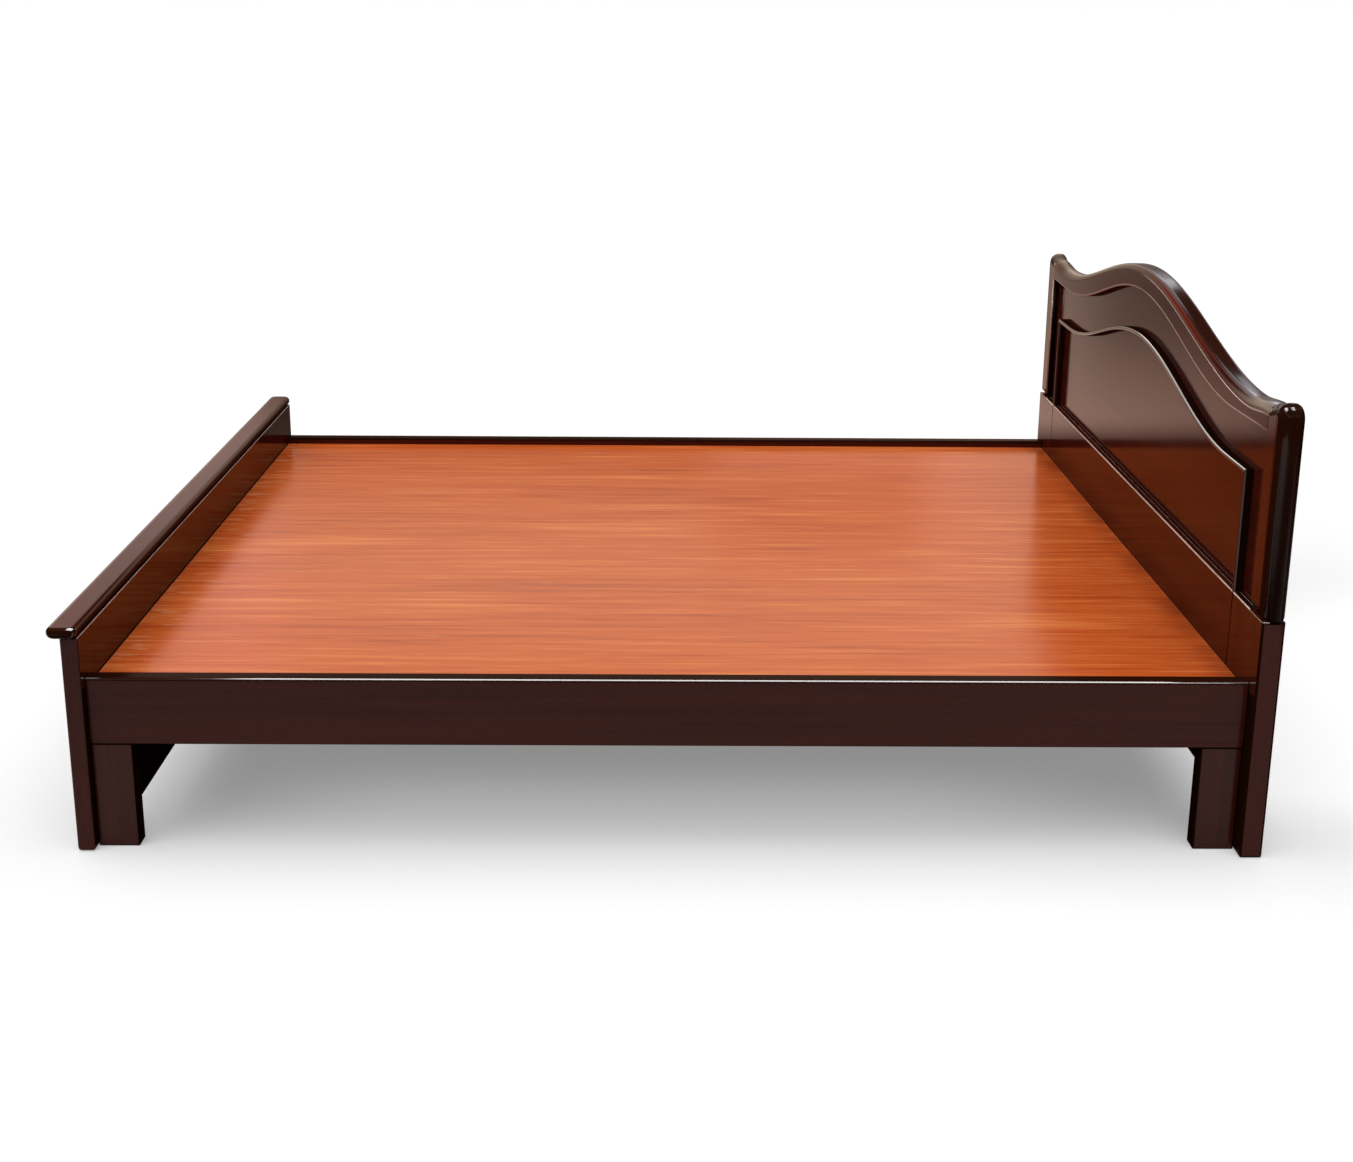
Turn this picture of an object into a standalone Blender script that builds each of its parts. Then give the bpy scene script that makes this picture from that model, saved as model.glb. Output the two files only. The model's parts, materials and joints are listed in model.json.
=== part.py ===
"""A wooden double bed with a camel-backed headboard, one object for each piece, in metres with +Z up.

The head end is at +X. The near side is at -Y and the far side at +Y. The origin is on the floor, under
the middle of the bed's outline.
"""

import math

import bmesh
import bpy
from mathutils import Matrix, Vector

# The mattress space, which sets the size of everything else
CLEAR_LENGTH = 1.990
CLEAR_WIDTH = 1.830

# Space left where two pieces touch
FIT = 0.0003

# Side rails
RAIL_THICK = 0.035
RAIL_HEIGHT = 0.120
RAIL_UNDERSIDE = 0.192
RAIL_ROUND = 0.005

# Leg blocks under the rail ends
LEG_LENGTH = 0.072
LEG_DEPTH = 0.038
LEG_SETBACK = 0.002
LEG_ROUND = 0.002

# Posts, which stand out past the rails
POST_THICK = 0.040
POST_ROUND = 0.004
HEAD_POST_WIDTH = 0.174
HEAD_POST_PROUD = 0.034
FOOT_POST_THICK = 0.030
FOOT_POST_WIDTH = 0.090
FOOT_POST_PROUD = 0.021

# Headboard
HEAD_SPLIT = 0.432
STILE_WIDTH = 0.074
STILE_LIFT = 0.010
STILE_ROUND = 0.018
CREST_ROUND = 0.012
CREST_TOP_DIP = 0.781
CREST_TOP_RISE = 0.111
CREST_TOP_SPAN_SHARE = 0.86
CREST_TOP_END_RISE = 0.009
CREST_DIP_DEPTH = 0.042
CREST_CROWN_DEPTH = 0.047
CREST_UNDER_SPAN_SHARE = 0.77
CREST_UNDER_END_RISE = 0.003
PANEL_RECESS = 0.017
PANEL_THICK = 0.012
PANEL_TONGUE = 0.008
BOARD_UNDERSIDE = 0.170
BOARD_TONGUE_THICK = 0.012
BOARD_TONGUE_LENGTH = 0.010

# Raised moulding on the headboard's panel
BEAD_WIDTH = 0.009
BEAD_ROUND = 0.0025
BEAD_DIP_DROP = 0.085
BEAD_CROWN_DROP = 0.089
BEAD_SPAN_SHARE = 0.86
BEAD_SIDE_INSET = 0.100

# Tenons that stand the stiles on the posts and hold the cap on the foot posts
TENON_THICK = 0.014
TENON_WIDTH = 0.040
STILE_TENON_LENGTH = 0.050
CAP_TENON_LENGTH = 0.010

# Footboard
FOOT_BOARD_THICK = 0.024
FOOT_BOARD_TONGUE_THICK = 0.008
CAP_UNDERSIDE = 0.390
CAP_THICK = 0.020
CAP_OVERHANG = 0.022
CAP_END_OVERHANG = 0.011
CAP_ROUND = 0.009
CAP_CORNER = 0.013

# Deck and its supports
DECK_DROP = 0.016
DECK_THICK = 0.018
DECK_BOARDS = 6
DECK_SEAM = 0.001
DECK_FOOT_GAP = 0.008
JOIST_HEIGHT = 0.040
JOIST_WIDTH = 0.060
JOISTS = 5
LEDGER_HEIGHT = 0.036
LEDGER_THICK = 0.025
BEARER_THICK = 0.038
HEAD_BEARER_DEPTH = 0.120
FOOT_BEARER_DEPTH = 0.198
BEAM_HEIGHT = 0.070
BEAM_WIDTH = 0.040
CENTRE_LEG_SIDE = 0.050

# Bed bolts
BOLT_RADIUS = 0.004
BOLT_LENGTH = 0.090
BOLT_HEAD_RADIUS = 0.011
BOLT_HEAD_THICK = 0.006
BOLT_CHAMFER = 0.002
BOLT_SINK = 0.002
BOLT_CLEARANCE = 0.0005
BOLT_SIDES = 24

# Fineness of the curved outlines
WAVE_STEPS = 48
ROUND_STEPS = 4
CORNER_STEPS = 6
FINE_STEPS = 2
SHARP_ANGLE = math.radians(30)
FLAT_ANGLE = math.radians(0.05)
SAME_PLACE = 1e-5

# Places worked out from the sizes above
END_SHIFT = (FOOT_POST_THICK + CAP_OVERHANG - POST_THICK) / 2
HEAD_FACE = CLEAR_LENGTH / 2 + END_SHIFT
FOOT_FACE = -CLEAR_LENGTH / 2 + END_SHIFT
RAIL_INSIDE = CLEAR_WIDTH / 2
RAIL_OUTSIDE = RAIL_INSIDE + RAIL_THICK
HEAD_HALF = RAIL_OUTSIDE + HEAD_POST_PROUD
FOOT_HALF = RAIL_OUTSIDE + FOOT_POST_PROUD
STILE_INSIDE = HEAD_HALF - STILE_WIDTH
HEAD_POST_INSIDE = HEAD_HALF - HEAD_POST_WIDTH
FOOT_POST_INSIDE = FOOT_HALF - FOOT_POST_WIDTH
PANEL_FACE = HEAD_FACE + PANEL_RECESS
CREST_END = CREST_TOP_DIP + CREST_TOP_END_RISE
STILE_TOP = CREST_END + STILE_LIFT
CREST_UNDER_DIP = CREST_TOP_DIP - CREST_DIP_DEPTH
CREST_UNDER_RISE = CREST_TOP_RISE + CREST_DIP_DEPTH - CREST_CROWN_DEPTH
BEAD_DIP = CREST_UNDER_DIP - BEAD_DIP_DROP
BEAD_RISE = CREST_UNDER_RISE + BEAD_DIP_DROP - BEAD_CROWN_DROP
RAIL_TOP = RAIL_UNDERSIDE + RAIL_HEIGHT
DECK_TOP = RAIL_TOP - DECK_DROP
DECK_UNDERSIDE = DECK_TOP - DECK_THICK
JOIST_UNDERSIDE = DECK_UNDERSIDE - JOIST_HEIGHT
BOLT_HEIGHT = (RAIL_UNDERSIDE + RAIL_TOP) / 2
BOLT_Y = RAIL_INSIDE + RAIL_THICK / 2

# Name and direction of each side, and name, inner face, outward direction and post thickness of each end
SIDES = (("near", -1), ("far", 1))
ENDS = (("head", HEAD_FACE, 1, POST_THICK), ("foot", FOOT_FACE, -1, FOOT_POST_THICK))

COLLECTION_NAME = "wooden_bed"
CUTTER_COLLECTION_NAME = "cutters"


def clear_scene():
    for obj in list(bpy.data.objects):
        bpy.data.objects.remove(obj)


def add_collection(name):
    collection = bpy.data.collections.new(name)
    bpy.context.scene.collection.children.link(collection)
    return collection


def add_material(name, colour, roughness, metallic=0.0):
    material = bpy.data.materials.new(name)
    material.use_nodes = True
    shader = material.node_tree.nodes["Principled BSDF"]
    shader.inputs["Base Color"].default_value = (*colour, 1.0)
    shader.inputs["Roughness"].default_value = roughness
    shader.inputs["Metallic"].default_value = metallic
    return material


def add_object(name, mesh, material, location):
    """A part when it has a material, and otherwise a hidden helper for Booleans."""
    obj = bpy.data.objects.new(name, mesh)
    obj.location = location
    if material:
        mesh.materials.append(material)
        parts.objects.link(obj)
    else:
        cutters.objects.link(obj)
        obj.hide_render = True
        obj.display_type = "WIRE"
    return obj


def span(a, b):
    """The two limits in rising order, so that one formula serves both sides of the bed."""
    return (min(a, b), max(a, b))


def block(name, x, y, z, material=None):
    """A box between three pairs of limits, with its origin in its middle."""
    limits = (x, y, z)
    middle = Vector([sum(pair) / 2 for pair in limits])
    size = [pair[1] - pair[0] for pair in limits]
    mesh = bpy.data.meshes.new(name)
    body = bmesh.new()
    bmesh.ops.create_cube(body, size=1.0, matrix=Matrix.Diagonal((*size, 1.0)))
    body.to_mesh(mesh)
    body.free()
    return add_object(name, mesh, material, middle)


def rod_along_x(name, x, y, z, radius):
    """A cutter for a round hole that runs along the bed."""
    mesh = bpy.data.meshes.new(name)
    body = bmesh.new()
    turn = Matrix.Rotation(math.pi / 2, 4, "Y")
    bmesh.ops.create_cone(
        body,
        cap_ends=True,
        segments=BOLT_SIDES,
        radius1=radius,
        radius2=radius,
        depth=x[1] - x[0],
        matrix=turn,
    )
    body.to_mesh(mesh)
    body.free()
    return add_object(name, mesh, None, (sum(x) / 2, y, z))


def plate(name, outline, x, material=None):
    """A flat outline of (y, z) points, as thick as the two limits along the bed."""
    curve = bpy.data.curves.new(name, "CURVE")
    curve.dimensions = "2D"
    curve.fill_mode = "BOTH"
    curve.extrude = (x[1] - x[0]) / 2
    spline = curve.splines.new("POLY")
    spline.points.add(len(outline) - 1)
    for point, (y, z) in zip(spline.points, outline):
        point.co = (y, z, 0.0, 1.0)
    spline.use_cyclic_u = True
    drawn = bpy.data.objects.new(name + "_outline", curve)
    parts.objects.link(drawn)
    # The outline's own axes are turned so that it stands across the bed
    drawn.matrix_world = Matrix(((0, 0, 1, sum(x) / 2), (1, 0, 0, 0), (0, 1, 0, 0), (0, 0, 0, 1)))
    bpy.context.view_layer.update()
    graph = bpy.context.evaluated_depsgraph_get()
    mesh = bpy.data.meshes.new_from_object(drawn.evaluated_get(graph))
    body = bmesh.new()
    body.from_mesh(mesh)
    bmesh.ops.remove_doubles(body, verts=body.verts, dist=SAME_PLACE)
    bmesh.ops.dissolve_limit(body, angle_limit=FLAT_ANGLE, verts=body.verts, edges=body.edges)
    bmesh.ops.recalc_face_normals(body, faces=body.faces)
    body.to_mesh(mesh)
    body.free()
    mesh.name = name
    obj = add_object(name, mesh, material, (0, 0, 0))
    obj.matrix_world = drawn.matrix_world
    bpy.data.objects.remove(drawn)
    return obj


def round_edges(obj, radius, chosen, steps=ROUND_STEPS):
    """Rounds the sharp edges that pass a test on their two ends, which it gets in world space."""
    bpy.context.view_layer.update()
    place = obj.matrix_world
    body = bmesh.new()
    body.from_mesh(obj.data)
    edges = [edge for edge in body.edges if edge.calc_face_angle(0.0) > SHARP_ANGLE]
    edges = [edge for edge in edges if chosen(*(place @ vert.co for vert in edge.verts))]
    bmesh.ops.bevel(
        body,
        geom=edges,
        offset=radius,
        offset_type="OFFSET",
        segments=steps,
        profile=0.5,
        affect="EDGES",
    )
    body.to_mesh(obj.data)
    body.free()
    obj.data.shade_smooth()
    obj.data.set_sharp_from_angle(angle=SHARP_ANGLE)


def same(a, b):
    return abs(a - b) < SAME_PLACE


def cut(obj, *tools):
    for tool in tools:
        boolean = obj.modifiers.new("cut " + tool.name, "BOOLEAN")
        boolean.operation = "DIFFERENCE"
        boolean.object = tool


def join(obj, *tools):
    for tool in tools:
        boolean = obj.modifiers.new("join " + tool.name, "BOOLEAN")
        boolean.operation = "UNION"
        boolean.object = tool


def hump(y, half_span):
    """One at the middle, falling in a cosine to nothing at half_span and beyond."""
    if abs(y) >= half_span:
        return 0.0
    return (1 + math.cos(math.pi * y / half_span)) / 2


def wave(half_width, dip, rise, share, end_rise=0.0):
    """(y, z) points from the near end to the far end of a camel-backed line."""
    half_span = share * half_width
    ys = [half_width * (2 * i / WAVE_STEPS - 1) for i in range(WAVE_STEPS + 1)]
    ends = [end_rise * hump(half_width - abs(y), half_width - half_span) for y in ys]
    return [(y, dip + rise * hump(y, half_span) + end) for y, end in zip(ys, ends)]


def crest_top(half_width):
    return wave(half_width, CREST_TOP_DIP, CREST_TOP_RISE, CREST_TOP_SPAN_SHARE, CREST_TOP_END_RISE)


def crest_under(half_width):
    return wave(half_width, CREST_UNDER_DIP, CREST_UNDER_RISE, CREST_UNDER_SPAN_SHARE, CREST_UNDER_END_RISE)


def panel_outline(grow):
    """The headboard panel with its tongues, grown by an amount on every side."""
    half = STILE_INSIDE + PANEL_TONGUE + grow
    under = HEAD_SPLIT - PANEL_TONGUE - grow
    line = crest_under(STILE_INSIDE)
    top = [(y, z + PANEL_TONGUE + grow) for y, z in line]
    return [(half, under), (half, top[-1][1]), *reversed(top), (-half, top[0][1]), (-half, under)]


def make_rails():
    for side, sign in SIDES:
        rail = block(
            "rail_" + side,
            (FOOT_FACE + FIT, HEAD_FACE - FIT),
            span(sign * RAIL_INSIDE, sign * RAIL_OUTSIDE),
            (RAIL_UNDERSIDE, RAIL_TOP),
            dark_wood,
        )
        round_edges(rail, RAIL_ROUND, lambda a, b: min(a.z, b.z) > BOLT_HEIGHT and same(a.y, b.y))
        cut(rail, bolt_rooms[("head", side)], bolt_rooms[("foot", side)])


def make_legs():
    for end, face, outward, _ in ENDS:
        for side, sign in SIDES:
            outside = RAIL_OUTSIDE - LEG_SETBACK
            leg = block(
                f"leg_{end}_{side}",
                span(face - outward * FIT, face - outward * LEG_LENGTH),
                span(sign * outside, sign * (outside - LEG_DEPTH)),
                (0, RAIL_UNDERSIDE - FIT),
                dark_wood,
            )
            round_edges(leg, LEG_ROUND, lambda a, b: True, FINE_STEPS)


def make_bolt_rooms():
    """Cutters for the bolt holes, each with a sunk seat for the bolt's head in the post's outer face."""
    rooms = {}
    seat = BOLT_SINK + BOLT_HEAD_THICK
    for end, face, outward, thick in ENDS:
        outer = face + outward * thick
        reach = BOLT_LENGTH - thick + BOLT_SINK + BOLT_CLEARANCE
        for side, sign in SIDES:
            hole = rod_along_x(
                f"bolt_hole_{end}_{side}",
                span(face - outward * reach, outer + outward * POST_ROUND),
                sign * BOLT_Y,
                BOLT_HEIGHT,
                BOLT_RADIUS + BOLT_CLEARANCE,
            )
            sink = rod_along_x(
                f"bolt_seat_{end}_{side}",
                span(outer - outward * seat, outer + outward * 2 * POST_ROUND),
                sign * BOLT_Y,
                BOLT_HEIGHT,
                BOLT_HEAD_RADIUS + BOLT_CLEARANCE,
            )
            join(hole, sink)
            rooms[(end, side)] = hole
    return rooms


def make_bolts():
    """Each bolt is a turned profile, with its head at the top of its own Z axis."""
    head_under = -BOLT_HEAD_THICK + FIT
    profile = [
        (0.0, 0.0),
        (BOLT_HEAD_RADIUS - BOLT_CHAMFER, 0.0),
        (BOLT_HEAD_RADIUS, -BOLT_CHAMFER),
        (BOLT_HEAD_RADIUS, head_under),
        (BOLT_RADIUS, head_under),
        (BOLT_RADIUS, -BOLT_LENGTH + BOLT_CHAMFER),
        (BOLT_RADIUS - BOLT_CHAMFER, -BOLT_LENGTH),
        (0.0, -BOLT_LENGTH),
    ]
    mesh = bpy.data.meshes.new("bolt")
    edges = [(i, i + 1) for i in range(len(profile) - 1)]
    mesh.from_pydata([(radius, 0.0, z) for radius, z in profile], edges, [])
    mesh.materials.append(bolt_steel)
    for end, face, outward, thick in ENDS:
        for side, sign in SIDES:
            bolt = bpy.data.objects.new(f"bolt_{end}_{side}", mesh)
            parts.objects.link(bolt)
            bolt.location = (face + outward * (thick - BOLT_SINK), sign * BOLT_Y, BOLT_HEIGHT)
            bolt.rotation_euler = (0, outward * math.pi / 2, 0)
            turning = bolt.modifiers.new("turn", "SCREW")
            turning.steps = turning.render_steps = BOLT_SIDES
            turning.use_merge_vertices = True
            turning.merge_threshold = SAME_PLACE


def make_headboard():
    thick = (HEAD_FACE, HEAD_FACE + POST_THICK)
    middle = sum(thick) / 2
    tenon_x = (middle - TENON_THICK / 2, middle + TENON_THICK / 2)
    tongue_x = (middle - BOARD_TONGUE_THICK / 2, middle + BOARD_TONGUE_THICK / 2)
    panel_x = (PANEL_FACE, PANEL_FACE + PANEL_THICK)
    panel_room = plate("panel_room", panel_outline(FIT), (panel_x[0] - FIT, panel_x[1] + FIT))
    plate("head_panel", panel_outline(0.0), panel_x, dark_wood)

    for side, sign in SIDES:
        post = block(
            "head_post_" + side,
            thick,
            span(sign * HEAD_HALF, sign * HEAD_POST_INSIDE),
            (0, HEAD_SPLIT),
            dark_wood,
        )
        round_edges(post, POST_ROUND, lambda a, b: outer_edge(a, b, HEAD_HALF, HEAD_SPLIT))
        tenon_middle = HEAD_HALF - STILE_WIDTH / 2
        tenon_y = (tenon_middle - TENON_WIDTH / 2, tenon_middle + TENON_WIDTH / 2)
        mortise = block(
            "stile_mortise_" + side,
            (tenon_x[0] - FIT, tenon_x[1] + FIT),
            span(sign * (tenon_y[0] - FIT), sign * (tenon_y[1] + FIT)),
            (HEAD_SPLIT - STILE_TENON_LENGTH - FIT, HEAD_SPLIT + STILE_TENON_LENGTH),
        )
        groove = block(
            "board_groove_head_" + side,
            (tongue_x[0] - FIT, tongue_x[1] + FIT),
            span(sign * (HEAD_POST_INSIDE - POST_THICK), sign * (HEAD_POST_INSIDE + BOARD_TONGUE_LENGTH)),
            (BOARD_UNDERSIDE - FIT, HEAD_SPLIT + STILE_TENON_LENGTH),
        )
        cut(post, mortise, groove, panel_room, bolt_rooms[("head", side)])

        stile = plate("head_stile_" + side, stile_outline(sign), thick, dark_wood)
        round_edges(stile, STILE_ROUND, stile_rim)
        tenon = block(
            "stile_tenon_" + side,
            tenon_x,
            span(sign * tenon_y[0], sign * tenon_y[1]),
            (HEAD_SPLIT - STILE_TENON_LENGTH, HEAD_SPLIT + STILE_TENON_LENGTH),
        )
        cut(stile, panel_room)
        join(stile, tenon)

    board_half = HEAD_POST_INSIDE - FIT
    board = block(
        "head_lower_board",
        thick,
        (-board_half, board_half),
        (BOARD_UNDERSIDE, HEAD_SPLIT),
        dark_wood,
    )
    tongue_half = HEAD_POST_INSIDE + BOARD_TONGUE_LENGTH - FIT
    tongue = block("head_board_tongue", tongue_x, (-tongue_half, tongue_half), (BOARD_UNDERSIDE, HEAD_SPLIT))
    join(board, tongue)
    cut(board, panel_room)

    crest_half = STILE_INSIDE - FIT
    outline = [*crest_under(crest_half), *reversed(crest_top(crest_half))]
    crest = plate("head_crest", outline, thick, dark_wood)
    round_edges(crest, CREST_ROUND, crest_rim)
    cut(crest, panel_room)


def crest_rim(a, b):
    """The long edges of the crest's top, in front and behind."""
    half_span = CREST_TOP_SPAN_SHARE * STILE_INSIDE
    middle = (CREST_TOP_DIP + CREST_UNDER_DIP) / 2
    above = [p.z > middle + CREST_UNDER_RISE * hump(p.y, half_span) for p in (a, b)]
    return same(a.x, b.x) and all(above)


def stile_rim(a, b):
    """A stile's outer side and top, in front and behind."""
    outside = [same(abs(p.y), HEAD_HALF) or p.z > CREST_TOP_DIP for p in (a, b)]
    return same(a.x, b.x) and all(outside)


def outer_edge(a, b, half, top):
    """The edges of a post's outer side, without the one that the next piece stands on."""
    outside = [same(abs(p.y), half) for p in (a, b)]
    return all(outside) and min(a.z, b.z) < top - FIT


def stile_outline(sign):
    """A stile across the bed: straight sides, and a top that rises from the crest to a round corner."""
    shares = [i / CORNER_STEPS for i in range(CORNER_STEPS + 1)]
    corner_y = HEAD_HALF - STILE_ROUND
    corner_z = STILE_TOP - STILE_ROUND
    turns = [math.pi / 2 * share for share in shares]
    arc = [(corner_y + STILE_ROUND * math.cos(t), corner_z + STILE_ROUND * math.sin(t)) for t in turns]
    run = STILE_WIDTH - STILE_ROUND
    slope = [(corner_y - run * share, CREST_END + STILE_LIFT * hump(share, 1.0)) for share in shares[1:]]
    half = [(STILE_INSIDE, HEAD_SPLIT + FIT), (HEAD_HALF, HEAD_SPLIT + FIT), *arc, *slope]
    return [(sign * y, z) for y, z in half]


def make_bead():
    x = (HEAD_FACE, PANEL_FACE - FIT)
    outer = STILE_INSIDE - BEAD_SIDE_INSET
    top = wave(outer, BEAD_DIP, BEAD_RISE, BEAD_SPAN_SHARE)
    under = [(y, z - BEAD_WIDTH) for y, z in top]
    arch = plate("bead_arch", [*under, *reversed(top)], x, dark_wood)
    round_edges(arch, BEAD_ROUND, on_bead_face, FINE_STEPS)
    for side, sign in SIDES:
        upright = block(
            "bead_side_" + side,
            x,
            span(sign * outer, sign * (outer - BEAD_WIDTH)),
            (HEAD_SPLIT + FIT, BEAD_DIP - BEAD_WIDTH - FIT),
            dark_wood,
        )
        round_edges(upright, BEAD_ROUND, on_bead_face, FINE_STEPS)


def on_bead_face(a, b):
    return same(a.x, HEAD_FACE) and same(b.x, HEAD_FACE)


def make_footboard():
    outer = FOOT_FACE - FOOT_POST_THICK
    middle = outer + FOOT_POST_THICK / 2
    tenon_x = (middle - TENON_THICK / 2, middle + TENON_THICK / 2)
    board_x = (FOOT_FACE - FOOT_BOARD_THICK, FOOT_FACE)
    board_middle = sum(board_x) / 2
    tongue_x = (board_middle - FOOT_BOARD_TONGUE_THICK / 2, board_middle + FOOT_BOARD_TONGUE_THICK / 2)
    post_top = CAP_UNDERSIDE - FIT

    cap_half = FOOT_HALF + CAP_END_OVERHANG
    cap = block(
        "foot_cap",
        (outer - CAP_OVERHANG, FOOT_FACE),
        (-cap_half, cap_half),
        (CAP_UNDERSIDE, CAP_UNDERSIDE + CAP_THICK),
        dark_wood,
    )
    round_edges(cap, CAP_CORNER, lambda a, b: not same(a.z, b.z), CORNER_STEPS)
    round_edges(cap, CAP_ROUND, lambda a, b: same(a.z, b.z))

    board_half = FOOT_POST_INSIDE - FIT
    board = block(
        "foot_board",
        board_x,
        (-board_half, board_half),
        (BOARD_UNDERSIDE, post_top),
        dark_wood,
    )
    tongue_half = FOOT_POST_INSIDE + BOARD_TONGUE_LENGTH - FIT
    tongue = block("foot_board_tongue", tongue_x, (-tongue_half, tongue_half), (BOARD_UNDERSIDE, post_top))
    join(board, tongue)

    for side, sign in SIDES:
        post = block(
            "foot_post_" + side,
            (outer, FOOT_FACE),
            span(sign * FOOT_HALF, sign * FOOT_POST_INSIDE),
            (0, post_top),
            dark_wood,
        )
        round_edges(post, POST_ROUND, lambda a, b: outer_edge(a, b, FOOT_HALF, post_top))
        tenon_middle = FOOT_HALF - FOOT_POST_WIDTH / 2
        tenon_y = (tenon_middle - TENON_WIDTH / 2, tenon_middle + TENON_WIDTH / 2)
        tenon = block(
            "cap_tenon_" + side,
            tenon_x,
            span(sign * tenon_y[0], sign * tenon_y[1]),
            (CAP_UNDERSIDE - POST_THICK, CAP_UNDERSIDE + CAP_TENON_LENGTH),
        )
        mortise = block(
            "cap_mortise_" + side,
            (tenon_x[0] - FIT, tenon_x[1] + FIT),
            span(sign * (tenon_y[0] - FIT), sign * (tenon_y[1] + FIT)),
            (CAP_UNDERSIDE - POST_THICK, CAP_UNDERSIDE + CAP_TENON_LENGTH + FIT),
        )
        groove = block(
            "board_groove_foot_" + side,
            (tongue_x[0] - FIT, tongue_x[1] + FIT),
            span(sign * (FOOT_POST_INSIDE - POST_THICK), sign * (FOOT_POST_INSIDE + BOARD_TONGUE_LENGTH)),
            (BOARD_UNDERSIDE - FIT, CAP_UNDERSIDE + POST_THICK),
        )
        cut(post, groove, bolt_rooms[("foot", side)])
        join(post, tenon)
        cut(cap, mortise)


def make_deck():
    pitch = CLEAR_WIDTH / DECK_BOARDS
    for i in range(DECK_BOARDS):
        start = -RAIL_INSIDE + i * pitch
        board = block(
            f"deck_board_{i + 1}",
            (FOOT_FACE + DECK_FOOT_GAP, HEAD_FACE - DECK_SEAM),
            (start + DECK_SEAM / 2, start + pitch - DECK_SEAM / 2),
            (DECK_UNDERSIDE + FIT, DECK_TOP),
            deck_wood,
        )
        round_edges(board, DECK_SEAM, lambda a, b: min(a.z, b.z) > DECK_TOP - FIT, steps=1)


def make_supports():
    head_bearer_x = span(HEAD_FACE - LEG_LENGTH, HEAD_FACE - LEG_LENGTH + BEARER_THICK)
    foot_bearer_x = span(FOOT_FACE + LEG_LENGTH, FOOT_FACE + LEG_LENGTH - BEARER_THICK)
    leg_inside = RAIL_OUTSIDE - LEG_SETBACK - LEG_DEPTH
    bearer_half = leg_inside - FIT
    for name, x, depth in (
        ("bearer_head", head_bearer_x, HEAD_BEARER_DEPTH),
        ("bearer_foot", foot_bearer_x, FOOT_BEARER_DEPTH),
    ):
        block(name, x, (-bearer_half, bearer_half), (DECK_UNDERSIDE - depth, DECK_UNDERSIDE), under_wood)

    inner_x = (foot_bearer_x[1] + FIT, head_bearer_x[0] - FIT)
    for side, sign in SIDES:
        block(
            "ledger_" + side,
            inner_x,
            span(sign * (RAIL_INSIDE - FIT), sign * (RAIL_INSIDE - LEDGER_THICK)),
            (JOIST_UNDERSIDE - LEDGER_HEIGHT, JOIST_UNDERSIDE - FIT),
            under_wood,
        )

    joist_half = RAIL_INSIDE - FIT
    pitch = (inner_x[1] - inner_x[0]) / (JOISTS + 1)
    for i in range(JOISTS):
        middle = inner_x[0] + pitch * (i + 1)
        block(
            f"joist_{i + 1}",
            (middle - JOIST_WIDTH / 2, middle + JOIST_WIDTH / 2),
            (-joist_half, joist_half),
            (JOIST_UNDERSIDE, DECK_UNDERSIDE),
            under_wood,
        )

    beam_top = JOIST_UNDERSIDE - FIT
    beam_underside = beam_top - BEAM_HEIGHT
    block("centre_beam", inner_x, (-BEAM_WIDTH / 2, BEAM_WIDTH / 2), (beam_underside, beam_top), under_wood)
    middle = sum(inner_x) / 2
    half = CENTRE_LEG_SIDE / 2
    block(
        "centre_leg",
        (middle - half, middle + half),
        (-half, half),
        (0, beam_underside - FIT),
        under_wood,
    )


clear_scene()
parts = add_collection(COLLECTION_NAME)
cutters = add_collection(CUTTER_COLLECTION_NAME)
dark_wood = add_material("dark lacquered wood", (0.045, 0.014, 0.008), 0.16)
deck_wood = add_material("orange varnished wood", (0.42, 0.115, 0.035), 0.18)
under_wood = add_material("plain wood", (0.30, 0.17, 0.085), 0.6)
bolt_steel = add_material("bolt steel", (0.45, 0.44, 0.42), 0.35, 1.0)
bolt_rooms = make_bolt_rooms()
make_rails()
make_legs()
make_headboard()
make_bead()
make_footboard()
make_deck()
make_supports()
make_bolts()
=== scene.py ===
"""A lacquered wooden double bed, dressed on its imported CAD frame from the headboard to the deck."""

import itertools
import json
import math

import bmesh
import bpy
from mathutils import Matrix, Vector

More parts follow.
